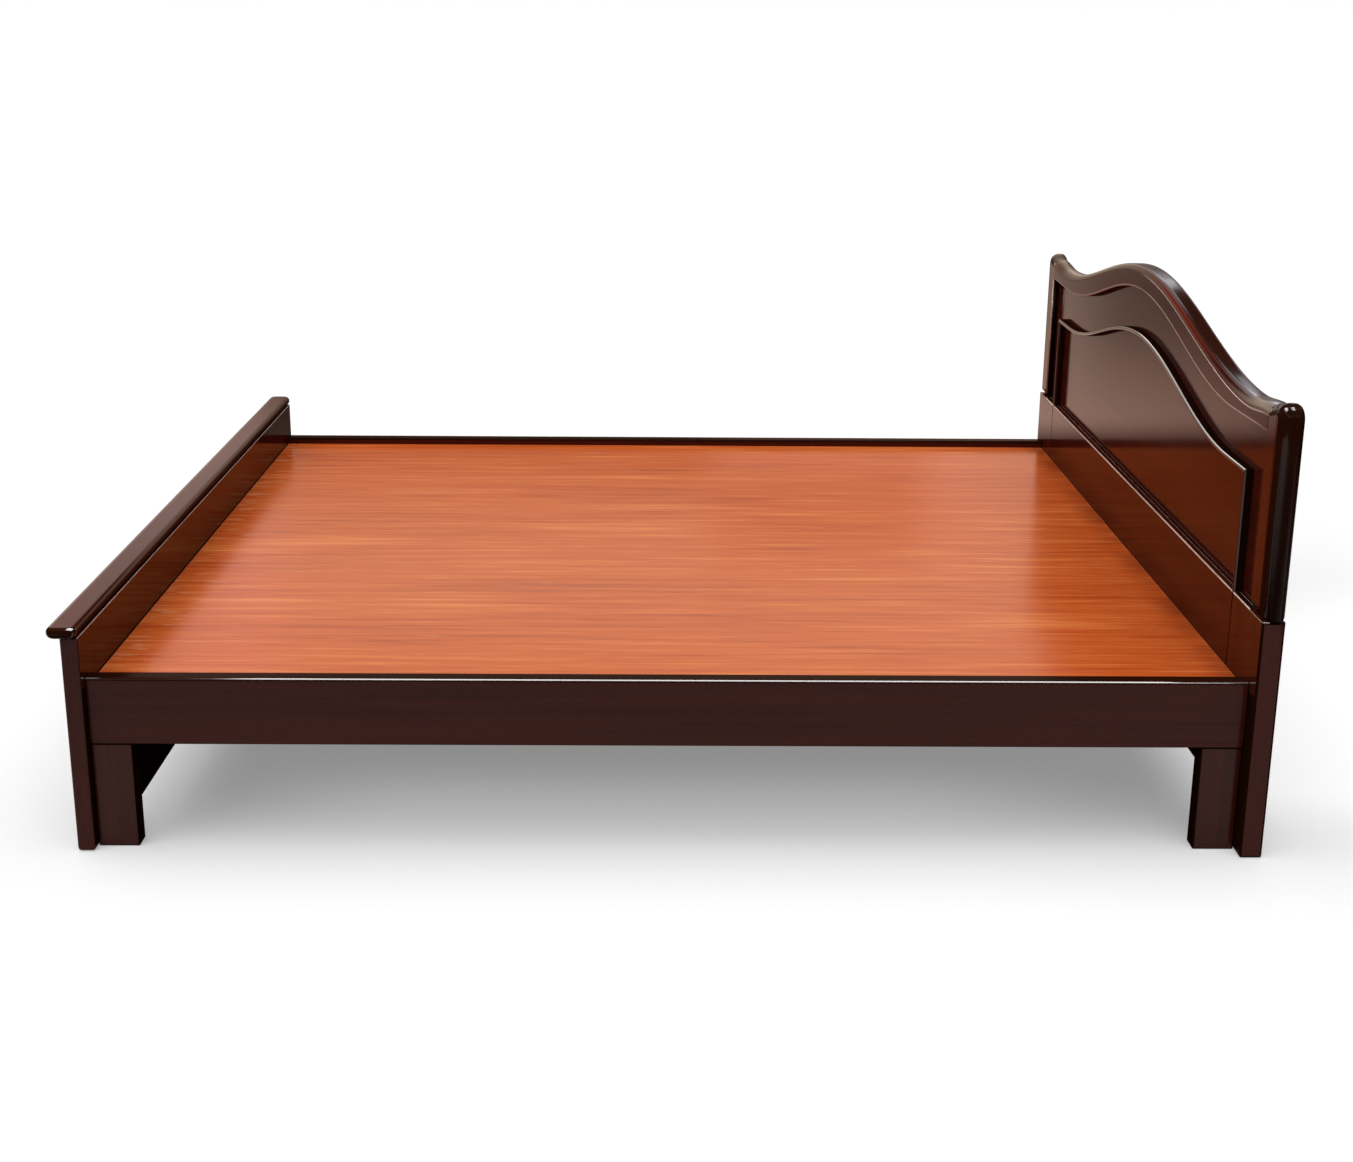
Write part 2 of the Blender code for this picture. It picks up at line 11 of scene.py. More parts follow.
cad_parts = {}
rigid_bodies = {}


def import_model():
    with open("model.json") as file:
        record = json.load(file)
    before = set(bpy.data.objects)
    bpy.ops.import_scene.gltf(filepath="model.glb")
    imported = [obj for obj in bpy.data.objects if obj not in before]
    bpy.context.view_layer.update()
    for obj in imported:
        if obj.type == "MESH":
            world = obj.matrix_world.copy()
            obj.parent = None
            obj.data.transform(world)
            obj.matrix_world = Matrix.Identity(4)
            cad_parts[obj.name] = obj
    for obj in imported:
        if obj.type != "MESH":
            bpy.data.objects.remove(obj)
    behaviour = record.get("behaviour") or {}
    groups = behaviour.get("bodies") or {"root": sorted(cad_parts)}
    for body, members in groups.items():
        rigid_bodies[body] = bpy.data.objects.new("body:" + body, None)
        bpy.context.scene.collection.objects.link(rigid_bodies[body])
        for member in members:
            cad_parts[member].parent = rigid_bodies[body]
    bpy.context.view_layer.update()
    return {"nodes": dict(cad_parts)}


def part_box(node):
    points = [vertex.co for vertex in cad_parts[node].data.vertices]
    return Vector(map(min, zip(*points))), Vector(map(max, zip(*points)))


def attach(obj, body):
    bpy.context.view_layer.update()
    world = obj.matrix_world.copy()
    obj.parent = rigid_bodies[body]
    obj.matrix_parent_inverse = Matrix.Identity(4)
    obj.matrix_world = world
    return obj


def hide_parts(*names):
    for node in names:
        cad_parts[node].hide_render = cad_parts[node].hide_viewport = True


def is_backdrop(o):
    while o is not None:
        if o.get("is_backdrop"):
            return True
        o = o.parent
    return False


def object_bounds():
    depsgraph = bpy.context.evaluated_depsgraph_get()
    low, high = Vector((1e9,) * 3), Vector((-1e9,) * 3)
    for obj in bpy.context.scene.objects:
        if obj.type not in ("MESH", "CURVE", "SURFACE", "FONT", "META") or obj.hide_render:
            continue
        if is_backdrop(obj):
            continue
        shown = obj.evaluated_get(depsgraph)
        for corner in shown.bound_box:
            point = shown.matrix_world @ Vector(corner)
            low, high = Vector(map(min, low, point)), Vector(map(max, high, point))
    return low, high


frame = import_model()


# Head posts: two wide planks of dark red hardwood that stand on the floor and end at the headboard's split.
# They are stained, lacquered and polished to a high gloss, with edges eased by hand before the lacquer.
# The rails are bolted to them, the upper stiles stand on them, and a groove in their tops holds the panel.

SIDES = (("near", -1), ("far", 1))
X, Y, Z = range(3)
POST_ROUND = 0.004
FOOT_ROUND = 0.006
ARRIS_ROUND = 0.0020
SEAM_ROUND = 0.0018
GROOVE_DEPTH = 0.005
GROOVE_FRONT = 0.0035
GROOVE_FRONT_ROUND = ARRIS_ROUND * 0.8
GROOVE_FOOT_ROUND = ARRIS_ROUND / 6
GROOVE_BACK_ROUND = ARRIS_ROUND * 0.6
ROUND_STEPS = 5
FLAT_MARGIN = 0.0006  # a strip of flat face beside each round
COLLAR = 0.024  # the length of an eased end
SHARP_TURN = math.radians(35)
FACING, SQUARE = 0.3, 0.99  # the share of a face's normal that looks to a side
BOARD_SHIFT = (1.37, 0.61, 0.23)
STAIN_DARK = (0.038, 0.0054, 0.0026, 1.0)
STAIN_LIGHT = (0.074, 0.0114, 0.0055, 1.0)
# A darker stain on polished edges: painted shade, under the edges' own harder gloss.
EDGE_SHADE_DARK = (0.022, 0.0040, 0.0012, 1.0)
EDGE_SHADE_LIGHT = (0.046, 0.0090, 0.0026, 1.0)
# A dark stain on the bold rounds and on some faces: painted shade, under a faint gloss.
BOLD_SHADE_DARK = (0.014, 0.0034, 0.0014, 1.0)
BOLD_SHADE_LIGHT = (0.028, 0.0066, 0.0024, 1.0)
# A near-black stain with almost no gloss: painted shade on hollows and on sides turned from the light.
SHADE_DARK = (0.008, 0.0020, 0.0009, 1.0)
SHADE_LIGHT = (0.018, 0.0045, 0.0018, 1.0)
# Pale colours for the lines along arrises: painted highlights.
HIGHLIGHT_DARK = (0.46, 0.310, 0.250, 1.0)
HIGHLIGHT_LIGHT = (0.84, 0.680, 0.600, 1.0)
PORE_STAIN = (0.010, 0.0020, 0.0008, 1.0)
# A redder stain: a painted reflection along the crest's top round.
REFLECTION_RED = (0.20, 0.026, 0.011, 1.0)


class Shade:
    """A shader socket. Arithmetic on it adds Math nodes, and node() adds any other node to its tree."""

    def __init__(self, tree, socket=None):
        self.tree = tree
        self.socket = socket

    def node(self, kind, settings=(), sockets=(), out=0):
        added = self.tree.nodes.new("ShaderNode" + kind)
        for name, value in dict(settings).items():
            setattr(added, name, value)
        for name, value in dict(sockets).items():
            if isinstance(value, Shade):
                self.tree.links.new(value.socket, added.inputs[name])
            else:
                added.inputs[name].default_value = value
        return Shade(self.tree, added.outputs[out] if len(added.outputs) else None)

    def math(self, operation, first, second):
        return self.node("Math", {"operation": operation}, {0: first, 1: second})

    def __add__(self, other):
        return self.math("ADD", self, other)

    __radd__ = __add__

    def __mul__(self, other):
        return self.math("MULTIPLY", self, other)

    __rmul__ = __mul__

    def __sub__(self, other):
        return self.math("SUBTRACT", self, other)

    def __rsub__(self, other):
        return self.math("SUBTRACT", other, self)

    def larger(self, other):
        return self.math("MAXIMUM", self, other)

    def below(self, limit):
        return self.math("LESS_THAN", self, limit)

    def between(self, low, high):
        """Nothing below low, one above high, and a smooth rise from one to the other."""
        sockets = {"Value": self, "From Min": low, "From Max": high}
        return self.node("MapRange", {"interpolation_type": "SMOOTHSTEP"}, sockets)

    def within(self, rise, fall):
        """Rises from nothing to one over the first span, and falls to nothing over the second."""
        return self.between(*rise) * (1.0 - self.between(*fall))

    def mix(self, first, second):
        """The first colour where this is nothing, and the second where it is one."""
        return self.node("Mix", {"data_type": "RGBA"}, {0: self, 6: first, 7: second}, out=2)

    def axis(self, name):
        """One axis of a place."""
        return self.node("SeparateXYZ", sockets={0: self}, out=name)

    def attribute(self, name, out="Fac"):
        """What the mesh has at each point under this name, which is nothing where it has none."""
        return self.node("Attribute", {"attribute_name": name}, out=out)

    def streaks(self, along, across, detail):
        """Noise drawn out along the grain, with so many waves a metre along it and across it."""
        drawn = self.node("VectorMath", {"operation": "MULTIPLY"}, {0: self, 1: (along, across, across)})
        return drawn.node("TexNoise", sockets={"Vector": drawn, "Scale": 1.0, "Detail": detail})

    def bump(self, distance, strength):
        return self.node("Bump", sockets={"Height": self, "Distance": distance, "Strength": strength})


def bare_material(name):
    """A new material with nothing in it yet, and a Shade to add its nodes with."""
    material = bpy.data.materials.new(name)
    material.use_nodes = True
    material.node_tree.nodes.clear()
    return material, Shade(material.node_tree)


def grained(name):
    """A new material, and the place in the wood of each of its points, in metres along the grain first."""
    material, shade = bare_material(name)
    return material, shade.attribute("grain", out="Vector")


def surface(shade, **sockets):
    """Ends a material in one Principled shader with these sockets, named with _ for a space."""
    named = {name.replace("_", " "): value for name, value in sockets.items()}
    shade.node("OutputMaterial", sockets={"Surface": shade.node("BsdfPrincipled", sockets=named)})


def dark_lacquer(name, dark, light, ior, gloss, ripple, painted_mark="worn", painted_to=REFLECTION_RED):
    """Stained hardwood with bands, streaks, fibres and pores, under lacquer with a haze and a slight ripple.

    A painted reflection and a painted highlight that a piece carries change the stain, and its own polish
    adds a clear coat.
    """
    material, grain = grained(name)
    bands = grain.streaks(along=0.8, across=9.0, detail=2.0)
    streaks = grain.streaks(along=1.7, across=55.0, detail=4.0)
    fibres = grain.streaks(along=8.0, across=420.0, detail=2.0)
    pores = grain.streaks(along=40.0, across=1500.0, detail=1.0).between(0.60, 0.70)
    tone = (bands * 0.45 + streaks * 0.40 + fibres * 0.15).between(0.30, 0.70)
    colour = (pores * 0.6).mix(tone.mix(dark, light), PORE_STAIN)
    colour = (grain.attribute(painted_mark) * tone.larger(0.6)).mix(colour, painted_to)
    haze = grain.streaks(along=2.5, across=6.0, detail=3.0)
    flow = grain.streaks(along=35.0, across=60.0, detail=1.0)
    surface(
        grain,
        Base_Color=colour,
        Roughness=gloss + haze * 0.06 + fibres * 0.03,
        IOR=ior,
        Coat_Weight=grain.attribute("polish"),
        Coat_Roughness=0.10,
        Normal=(flow * 0.6 + fibres * 0.3 - pores * 0.1).bump(distance=0.0002, strength=ripple),
    )
    return material


# The finishes: faces have the wood's own stain, and outer sides the same with more gloss. Polished edges have
# a darker stain that is painted shade under a harder gloss, edges and faces in shade a near-black painted
# shade, bold rounds a dark painted shade, and arrises a pale painted highlight.
FACE, EDGE, DULL_SHADED, ARRIS, OUTER, BOLD = range(6)
DARK_LACQUER = tuple(
    dark_lacquer("dark lacquer" + where, dark, light, ior, gloss, ripple)
    for where, dark, light, ior, gloss, ripple in (
        ("", STAIN_DARK, STAIN_LIGHT, 1.17, 0.06, 0.06),
        (" on polished edges", EDGE_SHADE_DARK, EDGE_SHADE_LIGHT, 1.45, 0.06, 0.02),
        (" on sunk edges", SHADE_DARK, SHADE_LIGHT, 1.03, 0.20, 0.02),
        (" on rubbed arrises", HIGHLIGHT_DARK, HIGHLIGHT_LIGHT, 1.10, 0.20, 0.05),
        (" on outer sides", STAIN_DARK, STAIN_LIGHT, 1.22, 0.10, 0.06),
        (" on bold rounds", BOLD_SHADE_DARK, BOLD_SHADE_LIGHT, 1.05, 0.12, 0.02),
    )
)


def piece_of(name, body, finishes):
    """An object from a bmesh, with the finishes that its faces choose from."""
    mesh = bpy.data.meshes.new(name)
    body.to_mesh(mesh)
    body.free()
    for finish in finishes:
        mesh.materials.append(finish)
    mesh.shade_smooth()
    obj = bpy.data.objects.new(name, mesh)
    bpy.context.scene.collection.objects.link(obj)
    return obj


board_numbers = itertools.count(1)


def sawn(obj, along, across):
    """Gives each point its place in the board that the piece is cut from, which is another for each piece."""
    number = next(board_numbers)
    axes = (along, across, X + Y + Z - along - across)
    grain = obj.data.attributes.new("grain", "FLOAT_VECTOR", "POINT")
    for vert, place in zip(obj.data.vertices, grain.data):
        place.vector = [vert.co[axis] + shift * number for axis, shift in zip(axes, BOARD_SHIFT)]
    return obj


def stands_for(obj, node):
    """Puts a piece on the bed in place of its CAD node."""
    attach(obj, "root")
    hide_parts(node)


def rounded_ring(corners, margin=FLAT_MARGIN):
    """Points round a section, and the finish of each step between them.

    A corner is (x, z, radius, finish). One with no radius only divides a face, and its finish goes on the
    part before it.
    """
    ring, finishes = [], []
    places = [Vector(corner[:2]) for corner in corners]
    for i, (_, _, radius, finish) in enumerate(corners):
        if not radius:
            ring.append(places[i])
            finishes[-1] = finish
            finishes.append(FACE)
            continue
        back = (places[i - 1] - places[i]).normalized()
        ahead = (places[(i + 1) % len(places)] - places[i]).normalized()
        half_turn = back.angle(ahead) / 2
        reach = radius / math.tan(half_turn)
        start, end = places[i] + back * reach, places[i] + ahead * reach
        centre = places[i] + (back + ahead).normalized() * (radius / math.sin(half_turn))
        first, last = (start - centre).normalized(), (end - centre).normalized()
        ring.append(start + back * margin)
        ring += [centre + first.slerp(last, step / ROUND_STEPS) * radius for step in range(ROUND_STEPS + 1)]
        ring.append(end + ahead * margin)
        finishes += [FACE] + [finish] * ROUND_STEPS + [FACE, FACE]
    return ring, finishes


def loft(name, rings, finishes, step_finish, closed):
    """A skin through rings of points, with a finish for each step round a ring."""
    body = bmesh.new()
    rows = [[body.verts.new(point) for point in ring] for ring in rings]
    count = len(rings[0])
    for row, following in zip(rows, rows[1:]):
        for i in range(count if closed else count - 1):
            j = (i + 1) % count
            face = body.faces.new((row[i], row[j], following[j], following[i]))
            face.material_index = step_finish[i]
    if closed:
        body.faces.new(rows[0])
        body.faces.new(reversed(rows[-1]))
    bmesh.ops.recalc_face_normals(body, faces=body.faces)
    obj = piece_of(name, body, finishes)
    obj.data.set_sharp_from_angle(angle=SHARP_TURN)
    return obj


def quarter_turn(steps):
    """The angles of a quarter round in so many steps."""
    return [math.pi / 2 * step / steps for step in range(steps + 1)]


def beam_across(name, corners, ends, end_rounds, divided_at=()):
    """A timber across the bed with one section all along, its two ends eased by a radius each."""
    section, step_finish = rounded_ring(corners)
    low = Vector([min(point[axis] for point in section) for axis in range(2)])
    high = Vector([max(point[axis] for point in section) for axis in range(2)])
    rings = []
    for end, toward, radius in zip(ends, (1, -1), end_rounds):
        turns = quarter_turn(ROUND_STEPS)
        stations = [(radius * (1 - math.cos(turn)), radius * (1 - math.sin(turn))) for turn in turns]
        stations += [(radius + FLAT_MARGIN, 0.0), (COLLAR, 0.0)]
        eased_end = []
        for along, inset in stations:
            ring = []
            for point in section:
                x = min(max(point.x, low.x + inset), high.x - inset)
                z = min(max(point.y, low.y + inset), high.y - inset)
                ring.append((x, end + toward * along, z))
            eased_end.append(ring)
        if toward < 0:
            rings += [[(point.x, y, point.y) for point in section] for y in divided_at]
        rings += eased_end if toward > 0 else reversed(eased_end)
    obj = loft(name, rings, DARK_LACQUER, step_finish, True)
    # The rounds of each end get near-black painted shade.
    for face in obj.data.polygons:
        for end, radius in zip(ends, end_rounds):
            if abs(face.center.y - end) < radius:
                face.material_index = OUTER if abs(face.normal.y) > SQUARE else DULL_SHADED
    return obj


head_low, head_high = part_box("head_post_near")
head_front, head_back, split_height = head_low.x, head_high.x, head_high.z
head_half, post_inside = -head_low.y, -head_high.y
panel_front, panel_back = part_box("head_panel")[0].x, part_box("head_panel")[1].x
deck_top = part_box("deck_board_1")[1].z
groove_front, groove_back = panel_front - GROOVE_FRONT, panel_back + FLAT_MARGIN
groove_foot = split_height - GROOVE_DEPTH
stile_edge = -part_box("head_stile_near")[1].y


def grooved_section(under, under_round, hidden):
    """The section of a plank with the panel's groove in its top, and a finish of its own below the deck."""
    return [
        (head_front, under, under_round, DULL_SHADED),
        (head_front, deck_top, 0.0, hidden),
        (head_front, split_height, ARRIS_ROUND, ARRIS),
        (groove_front, split_height, GROOVE_FRONT_ROUND, ARRIS),
        (groove_front, groove_foot, GROOVE_FOOT_ROUND, DULL_SHADED),
        (groove_back, groove_foot, GROOVE_FOOT_ROUND, DULL_SHADED),
        (groove_back, split_height, GROOVE_BACK_ROUND, DULL_SHADED),
        (head_back, split_height, ARRIS_ROUND, DULL_SHADED),
        (head_back, under, under_round, DULL_SHADED),
    ]


for side, sign in SIDES:
    node = "head_post_" + side
    ends = (-head_half, -post_inside) if sign < 0 else (post_inside, head_half)
    rounds = (POST_ROUND, SEAM_ROUND) if sign < 0 else (SEAM_ROUND, POST_ROUND)
    section = grooved_section(0.0, FOOT_ROUND, DULL_SHADED)
    post = beam_across("lacquered_" + node, section, ends, rounds, [sign * stile_edge])
    # On the top in front of the groove: a pale painted highlight along the seam, and near-black painted shade
    # on the ledge.
    for face in post.data.polygons:
        if face.normal.z <= FACING or face.center.x >= groove_front:
            continue
        place = abs(face.center.y)
        if place > head_half - COLLAR:
            face.material_index = EDGE
        elif place > stile_edge:
            face.material_index = FACE
        elif place < post_inside + SEAM_ROUND:
            face.material_index = ARRIS
        elif face.normal.z > SQUARE:
            face.material_index = DULL_SHADED
    stands_for(sawn(post, Z, Y), node)


# Lower headboard: one wide plank of the same lacquered wood, tongued between the two posts. A fine dark
# groove shows at each end where the eased arrises meet, and its top makes the ledge in front of the panel.

SEAM_GAP = 0.0010
board_half = post_inside - SEAM_GAP
board_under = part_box("head_lower_board")[0].z
lower_board = beam_across(
    "lacquered_head_lower_board",
    grooved_section(board_under, ARRIS_ROUND, FACE),
    (-board_half, board_half),
    (SEAM_ROUND, SEAM_ROUND),
)
stands_for(sawn(lower_board, Y, Z), "head_lower_board")


# Upper stiles: thick uprights of the same wood, worked to a bold round on the outer side and over the top,
# like a bullnose. They are tenoned into the posts, and the crest is joined flush between them.

STILE_WIDTH = 0.074
STILE_SIDE_ROUND = 0.026
STILE_ROUND = 0.0195
STILE_BACK_ROUND = 0.013
STILE_STEPS = 10
STILE_TOP = 0.800
STILE_CORNER = 0.027
CORNER_STEPS = 10
CREST_END = 0.790
JOINT_GAP = 0.0004
TOUCH = 1e-6
BOLD_TURN = 45.0  # turns are in degrees, from the front to the outer side
SHINE_TURN, SHINE_SPREAD, SHINE_MOST = 48.0, 24.0, 0.5
TOP_SHINE_FROM, TOP_SHINE_TO = 0.35, 0.85


def hump(distance, reach):
    """One at nothing, falling in a cosine to nothing at the reach and beyond."""
    return (1 + math.cos(math.pi * min(abs(distance) / reach, 1.0))) / 2


def eased(obj, radii, steps, finish):
    """Rounds a piece's edges, each by its own radius, and gives the rounds a finish."""
    widest = max(radii)
    weights = obj.data.attributes.new("bevel_weight_edge", "FLOAT", "EDGE")
    weights.data.foreach_set("value", [radius / widest for radius in radii])
    bevel = obj.modifiers.new("easing", "BEVEL")
    bevel.width = widest
    bevel.segments = steps
    bevel.limit_method = "WEIGHT"
    bevel.harden_normals = True
    bevel.use_clamp_overlap = False
    bevel.material = finish
    bpy.context.view_layer.update()
    made = obj.evaluated_get(bpy.context.evaluated_depsgraph_get())
    obj.data = bpy.data.meshes.new_from_object(made)
    obj.modifiers.clear()
    return obj


def slab(name, outline, front, back, radius_of, steps):
    """A flat outline of (y, z) points, as thick as from front to back along the bed, with its rim eased."""
    body = bmesh.new()
    faces = [[body.verts.new((x, y, z)) for y, z in outline] for x in (front, back)]
    body.faces.new(faces[0])
    body.faces.new(reversed(faces[1]))
    for i in range(len(outline)):
        j = (i + 1) % len(outline)
        body.faces.new((faces[0][i], faces[1][i], faces[1][j], faces[0][j]))
    bmesh.ops.recalc_face_normals(body, faces=body.faces)
    body.edges.ensure_lookup_table()
    ends = [[vert.co.copy() for vert in edge.verts] for edge in body.edges]
    radii = [radius_of(*pair) if pair[0].x == pair[1].x else 0.0 for pair in ends]
    return eased(piece_of(name, body, DARK_LACQUER), radii, steps, EDGE)


stile_inside = head_half - STILE_WIDTH
stile_foot = split_height + JOINT_GAP
corner_y, corner_z = head_half - STILE_CORNER, STILE_TOP - STILE_CORNER
stile_rim = [(stile_inside + JOINT_GAP, stile_foot), (head_half, stile_foot)]
for turn in quarter_turn(CORNER_STEPS):
    stile_rim.append((corner_y + STILE_CORNER * math.cos(turn), corner_z + STILE_CORNER * math.sin(turn)))
top_run = corner_y - stile_inside - JOINT_GAP
for i in range(1, CORNER_STEPS + 1):
    share = i / CORNER_STEPS
    stile_rim.append((corner_y - top_run * share, CREST_END + (STILE_TOP - CREST_END) * hump(share, 1.0)))


def stile_radius(a, b):
    """Fine along the crest's joint, plain behind, and in front boldest along the upright outer side."""
    inmost = min(abs(a.y), abs(b.y))
    if inmost < stile_inside + JOINT_GAP + TOUCH and a.y == b.y:
        return ARRIS_ROUND
    if a.x > head_front:
        return STILE_BACK_ROUND
    upright = abs(a.z - b.z) / (a - b).length if inmost > corner_y - TOUCH else 0.0
    return STILE_ROUND + (STILE_SIDE_ROUND - STILE_ROUND) * upright


for side, sign in SIDES:
    node = "head_stile_" + side
    rim = [(sign * y, z) for y, z in stile_rim]
    stile = slab("lacquered_" + node, rim, head_front, head_back, stile_radius, STILE_STEPS)
    # Rounds and faces turned past the bold turn get a dark painted shade; the inner arris a pale painted
    # highlight in front.
    for face in stile.data.polygons:
        turn = math.degrees(math.atan2(abs(face.normal.y), -face.normal.x))
        if face.material_index == EDGE and abs(face.center.y) < stile_inside + 2 * ARRIS_ROUND:
            face.material_index = ARRIS if face.center.x < head_front + 2 * ARRIS_ROUND else DULL_SHADED
        elif face.material_index == EDGE or turn > BOLD_TURN:
            face.material_index = BOLD
    polish = stile.data.attributes.new("polish", "FLOAT", "POINT")
    for vert, shine in zip(stile.data.vertices, polish.data):
        turn = math.degrees(math.atan2(sign * vert.normal.y, -vert.normal.x)) if vert.normal.x < 0 else 90.0
        on_side = SHINE_MOST * hump(turn - SHINE_TURN, SHINE_SPREAD)
        on_top = (vert.normal.z - TOP_SHINE_FROM) / (TOP_SHINE_TO - TOP_SHINE_FROM)
        shine.value = max(on_side, min(max(on_top, 0.0), 1.0))
    stands_for(sawn(stile, Z, Y), node)


# Headboard panel: one thin lacquered board behind the stiles and the crest, held in a groove all round.
# It stands back from their faces, which leaves a deep shadow line round it.

WAVE_STEPS = 160
CREST_UNDER_DIP = 0.739
CREST_UNDER_RISE = 0.106
CREST_UNDER_REACH = 0.77
CREST_UNDER_END_RISE = 0.003
PANEL_TUCK = 0.004
PANEL_ROUND = SEAM_ROUND / 2
FINE_STEPS = 2


def wave(half, dip, rise, share, end_rise):
    """(y, z) points of a camel-backed line from the near end to the far end."""
    reach = share * half
    line = []
    for i in range(WAVE_STEPS + 1):
        y = half * (2 * i / WAVE_STEPS - 1)
        line.append((y, dip + rise * hump(y, reach) + end_rise * hump(half - abs(y), half - reach)))
    return line


def evenly(radius):
    """Eases every edge of a piece by one radius."""
    return lambda *edge: radius


crest_under = wave(stile_inside, CREST_UNDER_DIP, CREST_UNDER_RISE, CREST_UNDER_REACH, CREST_UNDER_END_RISE)
panel_half = stile_inside + PANEL_TUCK
panel_foot = split_height - PANEL_TUCK
panel_top = [(y, z + PANEL_TUCK) for y, z in crest_under]
panel_rim = [(-panel_half, panel_foot), (panel_half, panel_foot), (panel_half, panel_top[-1][1])]
panel_rim += [*reversed(panel_top), (-panel_half, panel_top[0][1])]
panel = slab("lacquered_head_panel", panel_rim, panel_front, panel_back, evenly(PANEL_ROUND), FINE_STEPS)
stands_for(sawn(panel, Y, Z), "head_panel")


# Panel bead: a slender lacquered moulding planted on the panel, with a rounded nose and square sides.
# It rises straight from the ledge on both sides, is mitred at the shoulders and follows the crest in between.

BEAD_WIDTH = 0.009
BEAD_ROUND = 0.0042
BEAD_DIP = 0.654
BEAD_RISE = 0.102
BEAD_REACH = 0.86
BEAD_SIDE_INSET = 0.100
NOSE_STEPS = 5
bead_half = BEAD_WIDTH / 2
bead_depth = panel_front - JOINT_GAP - head_front
nose_across, nose_out = bead_half - BEAD_ROUND, bead_depth - BEAD_ROUND
nose_right = []
for turn in quarter_turn(NOSE_STEPS):
    nose_right.append((nose_across + BEAD_ROUND * math.cos(turn), nose_out + BEAD_ROUND * math.sin(turn)))
nose_left = [(-across, out) for across, out in reversed(nose_right)]
bead_profile = [(bead_half, 0.0), *nose_right, *nose_left, (-bead_half, 0.0)]
# The bead's square sides are near-black painted shade; the nose keeps the polished edge.
nose_finish = [DULL_SHADED] + [EDGE] * (2 * NOSE_STEPS + 1) + [DULL_SHADED, DULL_SHADED]

bead_middle = stile_inside - BEAD_SIDE_INSET - bead_half
bead_foot = split_height + JOINT_GAP
arch = [(y, z - bead_half) for y, z in wave(bead_middle, BEAD_DIP, BEAD_RISE, BEAD_REACH, 0.0)]
bead_path = [Vector(point) for point in ((-bead_middle, bead_foot), *arch, (bead_middle, bead_foot))]
bead_steps = [(end - start).normalized() for start, end in zip(bead_path, bead_path[1:])]
bead_rings = []
for point, before, after in zip(bead_path, [bead_steps[0], *bead_steps], [*bead_steps, bead_steps[-1]]):
    normals = [Vector((-step.y, step.x)) for step in (before, after)]
    mitre = (normals[0] + normals[1]).normalized()
    mitre /= mitre.dot(normals[0])
    ring = []
    for across, out in bead_profile:
        place = point + mitre * across
        ring.append((head_front + bead_depth - out, place.x, place.y))
    bead_rings.append(ring)
for node, rings, along in (
    ("bead_side_near", bead_rings[:2], Z),
    ("bead_arch", bead_rings[1:-1], Y),
    ("bead_side_far", bead_rings[-2:], Z),
):
    bead = loft("lacquered_" + node, rings, DARK_LACQUER, nose_finish, True)
    stands_for(sawn(bead, along, X), node)


# Headboard crest: a thick rail of the same wood, sawn to a camel-backed curve, with a round along its top
# that grows bolder toward the stiles. It is joined flush between them and grooved underneath for the panel.
# Along the near slope of its top round a redder band is painted as a reflection, and its front arrises
# carry pale painted highlights.

CREST_TOP_DIP = 0.781
CREST_TOP_RISE = 0.111
CREST_TOP_REACH = 0.86
CREST_TOP_END_RISE = 0.009
CREST_ROUND = 0.012
CREST_BACK_ROUND = 0.006
CREST_UNDER_ROUND = ARRIS_ROUND * 1.5
GROWS_FROM, GROWS_TO = 0.50, 0.88
CREST_LINE = 0.0022
CREST_PAINT = ("worn", "rubbed", "polish")
REFLECTION_MIDDLE, REFLECTION_REACH = -0.30, 0.34
LINE_MIDDLE, LINE_HALF, LINE_FADE = -0.46, 0.34, 0.16
LINE_LEAST = 0.45
BRIGHTEST_AT, BRIGHT_REACH, BRIGHTER = -0.62, 0.20, 0.6
POLISH_REACH = 0.30
HIGHLIGHT_PALE = (1.00, 0.900, 0.830, 1.0)
crest_lacquer = list(DARK_LACQUER)
crest_lacquer[FACE] = dark_lacquer("dark lacquer on the crest", STAIN_DARK, STAIN_LIGHT, 1.12, 0.08, 0.06)
crest_lacquer[ARRIS] = dark_lacquer(
    "dark lacquer on the crest's arrises", STAIN_DARK, STAIN_LIGHT, 1.10, 0.20, 0.05, "rubbed", HIGHLIGHT_PALE
)
crest_half = stile_inside - JOINT_GAP
crest_top = wave(crest_half, CREST_TOP_DIP, CREST_TOP_RISE, CREST_TOP_REACH, CREST_TOP_END_RISE)
crest_low = wave(crest_half, CREST_UNDER_DIP, CREST_UNDER_RISE, CREST_UNDER_REACH, CREST_UNDER_END_RISE)
crest_rings = []
for (y, top), (_, under) in zip(crest_top, crest_low):
    plain = hump(max(abs(y) - GROWS_FROM, 0.0), GROWS_TO - GROWS_FROM)
    top_round = STILE_ROUND + (CREST_ROUND - STILE_ROUND) * plain
    back_round = STILE_BACK_ROUND + (CREST_BACK_ROUND - STILE_BACK_ROUND) * plain
    section, crest_finish = rounded_ring(
        [
            (head_front, under, CREST_UNDER_ROUND, ARRIS),
            (head_front, top, top_round, FACE),
            (head_back, top, back_round, EDGE),
            (head_back, under, ARRIS_ROUND, DULL_SHADED),
        ],
        CREST_LINE,
    )
    crest_rings.append([(point.x, y, point.y) for point in section])
front_top = ROUND_STEPS + 3  # the ring's first point at this corner
back_top = 2 * front_top
crest_finish[front_top - 2] = crest_finish[front_top] = ARRIS
crest_finish[back_top - 4 : back_top] = [OUTER, EDGE, EDGE, EDGE]
crest = loft("lacquered_head_crest", crest_rings, crest_lacquer, crest_finish, True)
for painted_mark in CREST_PAINT:
    crest.data.attributes.new(painted_mark, "FLOAT", "POINT")
worn, rubbed, polish = [crest.data.attributes[painted_mark].data for painted_mark in CREST_PAINT]
